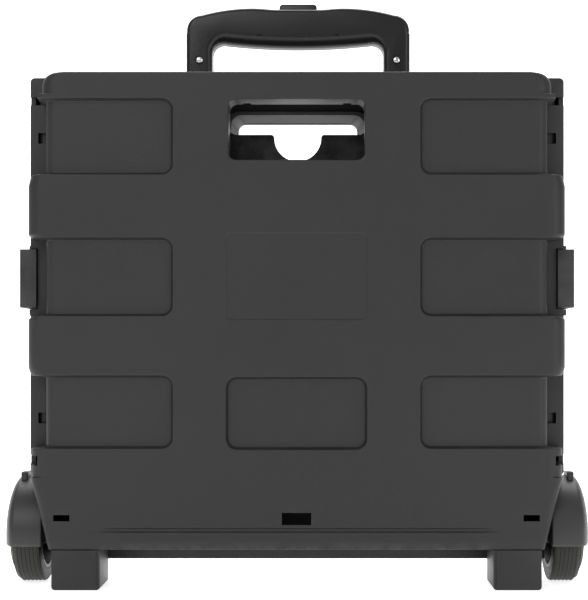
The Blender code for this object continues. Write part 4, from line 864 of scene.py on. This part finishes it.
def spun(name, profile, side, segments=120):
    bm = bmesh.new()
    verts = [bm.verts.new(at(side * x, wheel["axleDepth"], wheel["axleHeight"] + r)) for x, r in profile]
    for here, following in zip(verts, verts[1:] + verts[:1]):
        bm.edges.new((here, following))
    bmesh.ops.spin(
        bm, geom=bm.verts[:] + bm.edges[:], cent=at(0, wheel["axleDepth"], wheel["axleHeight"]),
        axis=(1, 0, 0), angle=2 * math.pi, steps=segments, use_merge=True)
    bmesh.ops.remove_doubles(bm, verts=bm.verts, dist=1e-6)
    return pieceFrom(name, bm)


def quarterDome(start, length, radius, steps, lowest=0.0):
    points = []
    for step in range(steps + 1):
        angle = step / steps * quarterTurn
        points.append((start + length * math.sin(angle), radius * math.cos(angle)))
    return [point for point in points if point[1] > lowest]


def repeatTree(name, kinds):  # an empty node tree with its named inputs
    tree = bpy.data.node_groups.new(name, "GeometryNodeTree")
    for label, kind in {"Geometry": "Geometry", **kinds}.items():
        tree.interface.new_socket(label, in_out="INPUT", socket_type="NodeSocket" + kind)
    tree.interface.new_socket("Geometry", in_out="OUTPUT", socket_type="NodeSocketGeometry")
    return tree, tree.nodes.new("NodeGroupInput").outputs


def ringTree():  # rings round the tread that follow the domed shoulder
    kinds = {"Ring Count": "Int", "Centre": "Vector", "Finish": "Material"}
    kinds.update({label: "Float" for label in ("First X", "Last X", "Radius", "Dome Start", "Dome Length")})
    tree, given = repeatTree("tyreRings", {**kinds, "Rib Radius": "Float"})
    nodes = tree.nodes
    links = tree.links
    points = nodes.new("GeometryNodePoints")
    links.new(given["Ring Count"], points.inputs["Count"])
    index = nodes.new("GeometryNodeInputIndex").outputs[0]
    share = mathNode(tree, "DIVIDE", index, mathNode(tree, "SUBTRACT", given["Ring Count"], 1.0))
    span = mathNode(tree, "SUBTRACT", given["Last X"], given["First X"])
    across = mathNode(tree, "ADD", given["First X"], mathNode(tree, "MULTIPLY", span, share))
    size = mathNode(tree, "ABSOLUTE", across)
    into = mathNode(tree, "DIVIDE", mathNode(tree, "SUBTRACT", size, given["Dome Start"]), given["Dome Length"])
    into = mathNode(tree, "MAXIMUM", into, 0.0)
    fall = mathNode(tree, "SQRT", mathNode(tree, "SUBTRACT", 1.0, mathNode(tree, "MULTIPLY", into, into)))
    reach = mathNode(tree, "MULTIPLY", given["Radius"], fall)
    offset = nodes.new("ShaderNodeCombineXYZ")
    links.new(across, offset.inputs["X"])
    place = nodes.new("GeometryNodeSetPosition")
    links.new(points.outputs[0], place.inputs["Geometry"])
    links.new(offset.outputs[0], place.inputs["Position"])
    circle = nodes.new("GeometryNodeCurvePrimitiveCircle")
    circle.inputs["Resolution"].default_value = 96
    circle.inputs["Radius"].default_value = 1.0
    rings = nodes.new("GeometryNodeInstanceOnPoints")
    links.new(place.outputs[0], rings.inputs["Points"])
    links.new(circle.outputs[0], rings.inputs["Instance"])
    rings.inputs["Rotation"].default_value = (0.0, quarterTurn, 0.0)
    links.new(reach, rings.inputs["Scale"])
    loose = nodes.new("GeometryNodeRealizeInstances")
    links.new(rings.outputs[0], loose.inputs[0])
    section = nodes.new("GeometryNodeCurvePrimitiveCircle")
    section.inputs["Resolution"].default_value = 8
    links.new(given["Rib Radius"], section.inputs["Radius"])
    solid = nodes.new("GeometryNodeCurveToMesh")
    links.new(loose.outputs[0], solid.inputs["Curve"])
    links.new(section.outputs[0], solid.inputs["Profile Curve"])
    move = nodes.new("GeometryNodeTransform")
    links.new(solid.outputs[0], move.inputs["Geometry"])
    links.new(given["Centre"], move.inputs["Translation"])
    return closeTree(tree, [given["Geometry"], move.outputs[0]], given["Finish"])


def closeTree(tree, geometries, finish):
    joined = tree.nodes.new("GeometryNodeJoinGeometry")
    for geometry in geometries:
        tree.links.new(geometry, joined.inputs[0])
    real = tree.nodes.new("GeometryNodeRealizeInstances")
    painted = tree.nodes.new("GeometryNodeSetMaterial")
    tree.links.new(joined.outputs[0], real.inputs[0])
    tree.links.new(real.outputs[0], painted.inputs["Geometry"])
    tree.links.new(finish, painted.inputs["Material"])
    tree.links.new(painted.outputs[0], tree.nodes.new("NodeGroupOutput").inputs[0])
    return tree


def growWith(piece, tree, values):  # runs a node tree on the piece and keeps the plain mesh
    modifier = piece.modifiers.new(tree.name, "NODES")
    modifier.node_group = tree
    for item in tree.interface.items_tree:
        if item.in_out == "INPUT" and item.name in values:
            modifier[item.identifier] = values[item.name]
    return applyModifiers(piece)


def buildWheel(side, label, rings):
    domeStart = wheel["outerX"] - wheel["dome"]
    outer = quarterDome(domeStart, wheel["dome"], wheel["radius"] - wheel["inset"], 20, wheel["rim"])
    profile = [(wheel["innerX"], wheel["rim"]), (wheel["innerX"], wheel["radius"] - wheel["shoulder"])]
    for step in range(1, 6):
        angle = step / 5 * quarterTurn
        lift = wheel["shoulder"] - wheel["inset"]
        across = wheel["innerX"] + lift * (1 - math.cos(angle))
        profile.append((across, wheel["radius"] - wheel["shoulder"] + lift * math.sin(angle)))
    profile += outer
    endX = domeStart + wheel["dome"] * math.sqrt(1 - (wheel["rim"] / wheel["radius"]) ** 2)
    profile.append((endX, wheel["rim"]))
    tyre = spun("tyre_" + label, profile, side)
    growWith(tyre, rings, {
        "Ring Count": wheel["ribCount"], "First X": side * wheel["firstRib"], "Last X": side * wheel["lastRib"],
        "Radius": wheel["radius"] - wheel["inset"], "Dome Start": domeStart, "Dome Length": wheel["dome"],
        "Rib Radius": wheel["ribRadius"], "Centre": at(0, wheel["axleDepth"], wheel["axleHeight"]),
        "Finish": materials["tyreRubber"]})
    shadeSmooth(tyre, 40)
    handOver(tyre, "wheel_" + label, "tyreRubber", ["tyre_" + label])


def buildFender(side, label):
    length = fender["outerX"] - fender["domeStart"]
    outer = quarterDome(fender["domeStart"], length, fender["radius"], 22)
    outer = outer[:-1] + [(fender["outerX"], 0.0)]
    inner = quarterDome(fender["domeStart"], length - fender["wall"], fender["radius"] - fender["wall"], 22)
    inner = inner[:-1] + [(fender["outerX"] - fender["wall"], 0.0)]
    wheelSide = fender["innerX"] + fender["wall"]
    rounding = 0.0012
    profile = [(fender["innerX"], fender["bore"]), (fender["innerX"], fender["radius"] - rounding)]
    for step in range(1, 5):
        angle = step / 4 * quarterTurn
        across = fender["innerX"] + rounding * (1 - math.cos(angle))
        profile.append((across, fender["radius"] - rounding * (1 - math.sin(angle))))
    profile += outer + list(reversed(inner))
    profile += [(wheelSide, fender["radius"] - fender["wall"]), (wheelSide, fender["bore"])]
    piece = spun("fender_" + label, profile, side, 144)
    middle = wheel["axleDepth"]
    below = [
        (-0.06, fender["frontEdge"] - 0.004), (middle - fender["radius"], fender["frontEdge"]),
        (middle + fender["radius"], fender["rearEdge"]), (0.24, fender["rearEdge"]),
        (0.24, -0.06), (-0.06, -0.06)]
    x = sorted((side * 0.19, side * 0.25))
    combine(piece, "DIFFERENCE", [plainPrism("below", below, "x", x)])
    bevelEdges(piece, fender["edge"], 2, 50)
    x = sorted((side * fender["tabX"][0], side * fender["tabX"][1]))
    outline = roundedOutline(x, fender["tabDepth"], 0.0011, 4)
    tabFoot = fender["radius"] + wheel["axleHeight"] - 0.004
    tab = softPrism("tab", outline, "z", (tabFoot, fender["tabTop"]), 0.0006)
    combine(piece, "UNION", [tab])
    shadeSmooth(piece, 40)
    handOver(piece, "back", "fenderPlastic", ["fender_" + label])


rings = ringTree()
for side, label in ((-1, "left"), (1, "right")):
    buildWheel(side, label, rings)
    buildFender(side, label)
print("wheels and fenders done")


# feet

foot = {
    "x": 0.173, "width": 0.038, "height": 0.0315, "length": 0.045, "corner": 0.0028, "edge": 0.0009,
    "seam": 0.0022,
}


def buildFoot(side, label):
    half = foot["width"] / 2
    x = (side * foot["x"] - half, side * foot["x"] + half)
    whole = roundedOutline(x, (0.0, foot["height"] * 2), foot["corner"], 6)
    outline = [point for point in whole if point[1] < foot["height"]]
    outline = [(x[0], foot["height"])] + outline + [(x[1], foot["height"])]
    body = softPrism("foot_" + label, outline, "y", (0.0, foot["length"]), foot["edge"], 3)
    # narrow seam down the front, near the inner side
    seamX = side * (foot["x"] - half + foot["seam"])
    seamLine = (seamX - 0.0002, seamX + 0.0002)
    seam = plainBlock("seam", seamLine, (-0.001, 0.0004), (0.003, foot["height"] + 0.01))
    combine(body, "DIFFERENCE", [seam])
    shadeSmooth(body, 32)
    handOver(body, "front", "cratePlastic", ["foot_" + label])


buildFoot(-1, "left")
buildFoot(1, "right")


# base panel, whose finger notch has eased mouth corners

basePanel = {"notchRadius": 0.0192, "notchSink": 0.0025, "fillet": 0.0024, "edge": 0.0005}


def notchOutline(top):
    radius = basePanel["notchRadius"]
    fillet = basePanel["fillet"]
    middle = top - basePanel["notchSink"]
    drop = basePanel["notchSink"] - fillet
    reach = math.sqrt((radius + fillet) ** 2 - drop ** 2)
    corner = []
    for step in range(9):
        angle = quarterTurn - step / 8 * (quarterTurn + math.atan2(drop, reach) * 0.98)
        corner.append((reach - fillet * math.sin(quarterTurn - angle), top - fillet + fillet * math.sin(angle)))
    arc = []
    start = math.atan2(drop, reach)
    for step in range(1, 24):
        angle = start - step / 24 * (math.pi + 2 * start)
        arc.append((radius * math.cos(angle), middle + radius * math.sin(angle)))
    right = [(reach, top + 0.004)] + corner
    left = [(-x, z) for x, z in reversed(right)]
    return right + arc + left


def buildBasePanel():
    piece = softenedCopy("base_panel", "panelPlastic", 0.0)
    low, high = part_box("base_panel")
    depths = (low.y - cadLow.y - 0.004, high.y - cadLow.y + 0.004)
    combine(piece, "DIFFERENCE", [plainPrism("notch", notchOutline(high.z), "y", depths)])
    bevelEdges(piece, basePanel["edge"], 2)
    shadeSmooth(piece, 30)


buildBasePanel()


# grip and its button

grip = {
    "halfWidth": 0.0924, "legInner": 0.0708, "bottom": 0.4115, "step": 0.450, "stepOut": 0.0004,
    "endTop": 0.4655, "peak": 0.4712, "peakX": 0.037, "dipX": 0.0165, "dip": 0.4700, "corner": 0.013,
    "shoulder": 0.4417, "underside": 0.4382, "innerCorner": 0.0095, "face": 0.010,
    "seam": 0.02085, "rearSeam": 0.02115,
    "rearFace": 0.032, "edge": 0.0042, "underDepth": 0.0085, "underRise": 0.0102, "seamGroove": 0.00035,
    "clipX": 0.030, "clipWidth": 0.0042, "clipHeights": (0.4475, 0.4486),
    "clipEnd": 0.0122, "sinkRadius": 0.0036, "sinkEnd": 0.0116, "buttonTravel": 0.0045, "buttonRoom": 0.0003,
    "screwX": 0.0813, "screwZ": 0.4275,
}


def topOfGrip(x):
    x = abs(x)
    if x <= grip["dipX"]:
        return grip["dip"]
    if x <= grip["peakX"]:
        share = easeStep((x - grip["dipX"]) / (grip["peakX"] - grip["dipX"]))
        return grip["dip"] + (grip["peak"] - grip["dip"]) * share
    end = grip["halfWidth"] - grip["corner"]
    share = (x - grip["peakX"]) / (end - grip["peakX"])
    return grip["peak"] - (grip["peak"] - grip["endTop"]) * share ** 2


def gripHalfOutline():  # right half, from the leg's outer foot over the top to the middle, then the underside
    high = grip["endTop"] - grip["corner"]
    slim = grip["halfWidth"] - grip["stepOut"]
    wide = grip["halfWidth"]
    points = [(wide, grip["bottom"], 0), (wide, 0.430, 1), (wide, grip["step"] - 0.0002, 1)]
    points += [(slim, grip["step"] + 0.0003, 1), (slim, (grip["step"] + high) / 2 + 0.001, 1)]
    for step in range(11):
        angle = step / 10 * quarterTurn
        lean = grip["corner"] * (1 - math.cos(angle))
        points.append((slim - lean, high + grip["corner"] * math.sin(angle), 1))
    end = grip["halfWidth"] - grip["corner"] - 0.003
    for step in range(25):
        x = end * (1 - step / 25)
        points.append((x, topOfGrip(x), 1))
    under = []
    flat = grip["legInner"] - grip["innerCorner"]
    for step in range(17):
        x = flat * step / 16
        z = grip["underside"] + (grip["shoulder"] - grip["underside"]) * (step / 16) ** 2
        under.append((x, z, 2))
    for step in range(1, 9):
        angle = step / 8 * quarterTurn
        x = flat + grip["innerCorner"] * math.sin(angle)
        z = grip["shoulder"] - grip["innerCorner"] * (1 - math.cos(angle))
        under.append((x, z, 2 - step / 8))
    under += [(grip["legInner"], 0.424, 1), (grip["legInner"], grip["bottom"], 3)]
    return points, under


def gripRing(y, inset):
    # inset is a function of the kind of edge: 1 outer, 2 underside, 0 and 3 the feet of the legs
    over, under = gripHalfOutline()
    outline = over + [(0.0, grip["dip"], 1)] + [(-x, z, kind) for x, z, kind in reversed(over)]
    outline += [(-x, z, kind) for x, z, kind in reversed(under)] + under[1:]
    plain = [(x, z) for x, z, kind in outline]
    ring = []
    count = len(plain)
    for k, (x, z) in enumerate(plain):
        kind = outline[k][2]
        before = plain[k - 1]
        after = plain[(k + 1) % count]
        along = Vector((after[0] - before[0], after[1] - before[1])).normalized()
        if kind in (0, 3):
            inward = Vector((-math.copysign(1, x) if kind == 0 else math.copysign(1, x), 0.0))
            amount = inset(1)
        else:
            inward = Vector((-along.y, along.x))
            amount = inset(1) + (inset(2) - inset(1)) * max(0.0, kind - 1)
        ring.append(Vector((x + inward.x * amount, y, z + inward.y * amount)))
    return ring


def acrossDepth(name, outline, yLimits):
    return loftRings(name, [[Vector((x, y, z)) for x, z in outline] for y in yLimits])


def buildGripHalf(name, seamY, faceY, node):
    way = math.copysign(1, faceY - seamY)
    depth = abs(faceY - seamY)
    levels = [0.0, 0.00035]
    levels += [depth - grip["underDepth"] * part for part in (0.92, 0.75, 0.6)]
    levels += [depth - grip["edge"] * (1 - math.sin(k / 7 * quarterTurn)) for k in range(8)]
    rings = []
    for level in sorted(levels):
        fromFace = depth - level

        def inset(kind):
            if kind == 2:
                share = min(fromFace / grip["underDepth"], 1.0)
                base = grip["underRise"] * (1 - math.sqrt(max(1 - (1 - share) ** 2, 0)))
            else:
                share = min(fromFace / grip["edge"], 1.0)
                base = grip["edge"] * (1 - math.sqrt(max(1 - (1 - share) ** 2, 0)))
            return base + (grip["seamGroove"] if level == 0.0 else 0.0)

        rings.append(gripRing(seamY + way * level, inset))
    piece = loftRings(name, rings, 30)
    cutters = []
    if node == "grip_front":
        for side in (-1, 1):
            centre = (side * grip["screwX"], grip["screwZ"])
            outline = circleAt(centre, grip["sinkRadius"], 32)
            cutters.append(acrossDepth("sink", outline, (0.005, grip["sinkEnd"])))
            clipX = (side * grip["clipX"], side * (grip["clipX"] + grip["clipWidth"]))
            clip = roundedOutline(sorted(clipX), grip["clipHeights"], 0.0004, 3)
            cutters.append(acrossDepth("clip", clip, (0.005, grip["clipEnd"])))
    low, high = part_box("release_button")
    room = grip["buttonRoom"]
    button = roundedOutline((low.x - room, high.x + room), (low.z - grip["buttonTravel"], 0.49), 0.0005, 2)
    reach = max(high.y - low.y, 0.01) / 2 + room
    yLimits = sorted((seamY - way * 0.002, (low.y + high.y) / 2 - cadLow.y + way * reach))
    cutters.append(acrossDepth("buttonWell", button, yLimits))
    combine(piece, "DIFFERENCE", [gather("gripCuts", cutters)])
    shadeSmooth(piece, 30)
    return handOver(piece, "handle_top", "gripPlastic", [node])


buildGripHalf("gripFront", grip["seam"], grip["face"], "grip_front")
buildGripHalf("gripRear", grip["rearSeam"], grip["rearFace"], "grip_rear")
low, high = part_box("release_button")
buttonOutline = roundedOutline((low.x, high.x), (low.z, high.z), 0.0028, 6)
buttonPiece = softPrism("releaseButton", buttonOutline, "y", (low.y - cadLow.y, high.y - cadLow.y), 0.0014, 4)
handOver(buttonPiece, "release", "gripPlastic", ["release_button"])
print("grip done")


# screws

screws = {"head": 0.0042, "gripHead": 0.0028, "segments": 32, "sink": 0.0012, "gripSink": 0.0009}


def crossScrew():  # unit screw: head radius 1 mm, facing +Z
    bm = bmesh.new()
    profile = [(0.0, -0.6), (1.0, -0.6), (1.0, 0.05)]
    for step in range(1, 7):
        angle = step / 6 * quarterTurn
        profile.append((math.cos(angle * 0.98), 0.05 + 0.30 * math.sin(angle)))
    verts = [bm.verts.new((r / 1000, 0, z / 1000)) for r, z in profile]
    for here, following in zip(verts, verts[1:]):
        bm.edges.new((here, following))
    bmesh.ops.spin(
        bm, geom=bm.verts[:] + bm.edges[:], cent=(0, 0, 0), axis=(0, 0, 1),
        angle=2 * math.pi, steps=screws["segments"], use_merge=True)
    bmesh.ops.remove_doubles(bm, verts=bm.verts, dist=1e-7)
    bmesh.ops.holes_fill(bm, edges=bm.edges, sides=40)
    head = pieceFrom("screwHead", bm, 35)
    arms = []
    for turn in (0, 1):
        size = (0.00062, 0.00012) if turn == 0 else (0.00012, 0.00062)
        outline = [(-size[0], -size[1]), (size[0], -size[1]), (size[0], size[1]), (-size[0], size[1])]
        arms.append(loftRings("arm", [[Vector((x, y, z)) for x, y in outline] for z in (0.0001, 0.001)]))
    combine(head, "DIFFERENCE", arms)
    shadeSmooth(head, 35)
    return head


def screwTree():
    tree, given = repeatTree("screwSet", {
        "Screw": "Object", "Head Radius": "Float", "Facing": "Vector", "Seed": "Int", "Finish": "Material"})
    shape = tree.nodes.new("GeometryNodeObjectInfo")
    tree.links.new(given["Screw"], shape.inputs["Object"])
    spin = tree.nodes.new("FunctionNodeRandomValue")
    spin.data_type = "FLOAT"
    floatMax = [socket for socket in spin.inputs if socket.name == "Max" and socket.type == "VALUE"][0]
    floatMax.default_value = 1.4
    tree.links.new(given["Seed"], spin.inputs["Seed"])
    value = [socket for socket in spin.outputs if socket.type == "VALUE"][0]
    twist = tree.nodes.new("ShaderNodeCombineXYZ")
    tree.links.new(value, twist.inputs["Z"])
    turned = tree.nodes.new("FunctionNodeRotateEuler")
    turned.inputs[0].default_value = (0.0, 0.0, 0.0)
    tree.links.new(twist.outputs[0], turned.inputs[0])
    tree.links.new(given["Facing"], turned.inputs["Rotate By"])
    copies = tree.nodes.new("GeometryNodeInstanceOnPoints")
    tree.links.new(given["Geometry"], copies.inputs["Points"])
    tree.links.new(shape.outputs["Geometry"], copies.inputs["Instance"])
    tree.links.new(turned.outputs[0], copies.inputs["Rotation"])
    tree.links.new(mathNode(tree, "MULTIPLY", given["Head Radius"], 1000.0), copies.inputs["Scale"])
    return closeTree(tree, [copies.outputs[0]], given["Finish"])


def screwSet(name, places, radius, facing, body, nodes, tree, screw, seed):
    mesh = bpy.data.meshes.new(name)
    mesh.from_pydata(places, [], [])
    piece = bpy.data.objects.new(name, mesh)
    bpy.context.scene.collection.objects.link(piece)
    growWith(piece, tree, {
        "Screw": screw, "Head Radius": radius, "Facing": facing, "Seed": seed,
        "Finish": materials["brightSteel"]})
    shadeSmooth(piece, 35)
    handOver(piece, body, "brightSteel", nodes)


def buildScrews():
    screw = crossScrew()
    tree = screwTree()
    places = []
    names = ["clamp_screw_%d" % k for k in range(1, 5)]
    for node in names:
        low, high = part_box(node)
        places.append(((low.x + high.x) / 2, high.y - screws["sink"], (low.z + high.z) / 2))
    facing = (-quarterTurn, 0.0, 0.0)
    screwSet("clampScrews", places, screws["head"], facing, "back", names, tree, screw, 3)
    places = []
    names = ["grip_screw_left", "grip_screw_right"]
    for node in names:
        low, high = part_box(node)
        places.append(((low.x + high.x) / 2, low.y + screws["gripSink"], (low.z + high.z) / 2))
    facing = (quarterTurn, 0.0, 0.0)
    screwSet("gripScrews", places, screws["gripHead"], facing, "handle_top", names, tree, screw, 8)
    bpy.data.objects.remove(screw, do_unlink=True)


buildScrews()
print("screws done")


# everything else keeps its CAD shape, with softened edges

plainPieces = {
    "cratePlastic": ["axle_beam", "axle_nut_left", "axle_nut_right", "lower_clamp",
                     "upper_clamp", "tube_plug_left", "tube_plug_right", "latch_left", "latch_right",
                     "wheel_hub_left", "wheel_hub_right"],
    "panelPlastic": ["front_side_panel_left", "front_side_panel_right", "rear_side_panel_left",
                     "rear_side_panel_right"],
    "gripPlastic": ["tube_collar_left", "tube_collar_right", "mid_collar_left", "mid_collar_right"],
    "brushedTube": ["outer_tube_left", "outer_tube_right", "mid_tube_left", "mid_tube_right",
                    "inner_tube_left", "inner_tube_right"],
}
for material, names in plainPieces.items():
    for node in names:
        softenedCopy(node, material)
for node, obj in frame["nodes"].items():
    if not obj.hide_render:
        obj.data.materials.clear()
        obj.data.materials.append(materials["brightSteel"])


# floor, light and camera

studio = {
    "floorColour": (0.93, 0.93, 0.925), "floorPatches": (0.88, 0.88, 0.87), "world": 0.42,
    "sweepGlow": 0.75, "cameraX": 0.0223, "cameraHeight": 0.1826, "cameraDistance": 1.10, "lens": 84.4,
    "shiftX": -0.0517, "shiftY": 0.095,
}


def areaLight(name, place, target, size, energy):
    light = bpy.data.lights.new(name, "AREA")
    light.shape = "RECTANGLE"
    light.size, light.size_y = size
    light.energy = energy
    lamp = bpy.data.objects.new(name, light)
    bpy.context.scene.collection.objects.link(lamp)
    lamp.location = place
    lamp.rotation_euler = (Vector(target) - Vector(place)).to_track_quat("-Z", "Y").to_euler()


def buildStudio():
    floorMaterial = bpy.data.materials.new("paleFloor")
    floorMaterial.use_nodes = True
    tree = floorMaterial.node_tree
    shader = tree.nodes["Principled BSDF"]
    place = tree.nodes.new("ShaderNodeTexCoord").outputs["Object"]
    tone = noiseNode(tree, place, 3.0)
    colour = mixColour(tree, tone, studio["floorColour"], studio["floorPatches"])
    tree.links.new(colour, shader.inputs["Base Color"])
    shader.inputs["Roughness"].default_value = 0.7
    shader.inputs["Emission Color"].default_value = (1.0, 1.0, 1.0, 1.0)
    shader.inputs["Emission Strength"].default_value = studio["sweepGlow"]
    bm = bmesh.new()
    rows = []
    for step in range(25):
        angle = max(0.0, (step - 1) / 23) * quarterTurn
        y = -3.0 if step == 0 else 1.6 + 1.6 * math.sin(angle)
        z = 0.0 if step == 0 else 1.6 * (1 - math.cos(angle))
        rows.append([bm.verts.new((x, y, z)) for x in (-4.0, 4.0)])
    rows.append([bm.verts.new((x, 3.2, 4.0)) for x in (-4.0, 4.0)])
    for low, high in zip(rows, rows[1:]):
        bm.faces.new((low[0], low[1], high[1], high[0]))
    floor = pieceFrom("paleSweep", bm, 60)
    floor.data.materials.append(floorMaterial)
    world = bpy.data.worlds.new("softRoom")
    world.use_nodes = True
    world.node_tree.nodes["Background"].inputs["Color"].default_value = (1.0, 1.0, 1.0, 1.0)
    world.node_tree.nodes["Background"].inputs["Strength"].default_value = studio["world"]
    bpy.context.scene.world = world
    areaLight("frontSoft", (-0.9, -2.2, 1.7), (0, 0, 0.2), (1.6, 1.2), 22)
    areaLight("frontFill", (1.6, -1.8, 0.7), (0, 0, 0.2), (1.2, 1.2), 9)
    areaLight("topBack", (0.1, 0.8, 1.6), (0, 0, 0.25), (1.8, 0.9), 22)
    areaLight("sweepWash", (0.0, 0.6, 2.8), (0, 2.6, 0.9), (3.0, 1.2), 40)
    bpy.context.scene.view_settings.view_transform = "Standard"
    camera = bpy.data.objects.new("camera", bpy.data.cameras.new("camera"))
    bpy.context.scene.collection.objects.link(camera)
    camera.location = (studio["cameraX"], cadLow.y - studio["cameraDistance"], studio["cameraHeight"])
    camera.rotation_euler = (quarterTurn, 0, 0)
    camera.data.lens = studio["lens"]
    camera.data.shift_x = studio["shiftX"]
    camera.data.shift_y = studio["shiftY"]
    bpy.context.scene.camera = camera


buildStudio()
print("scene ready")
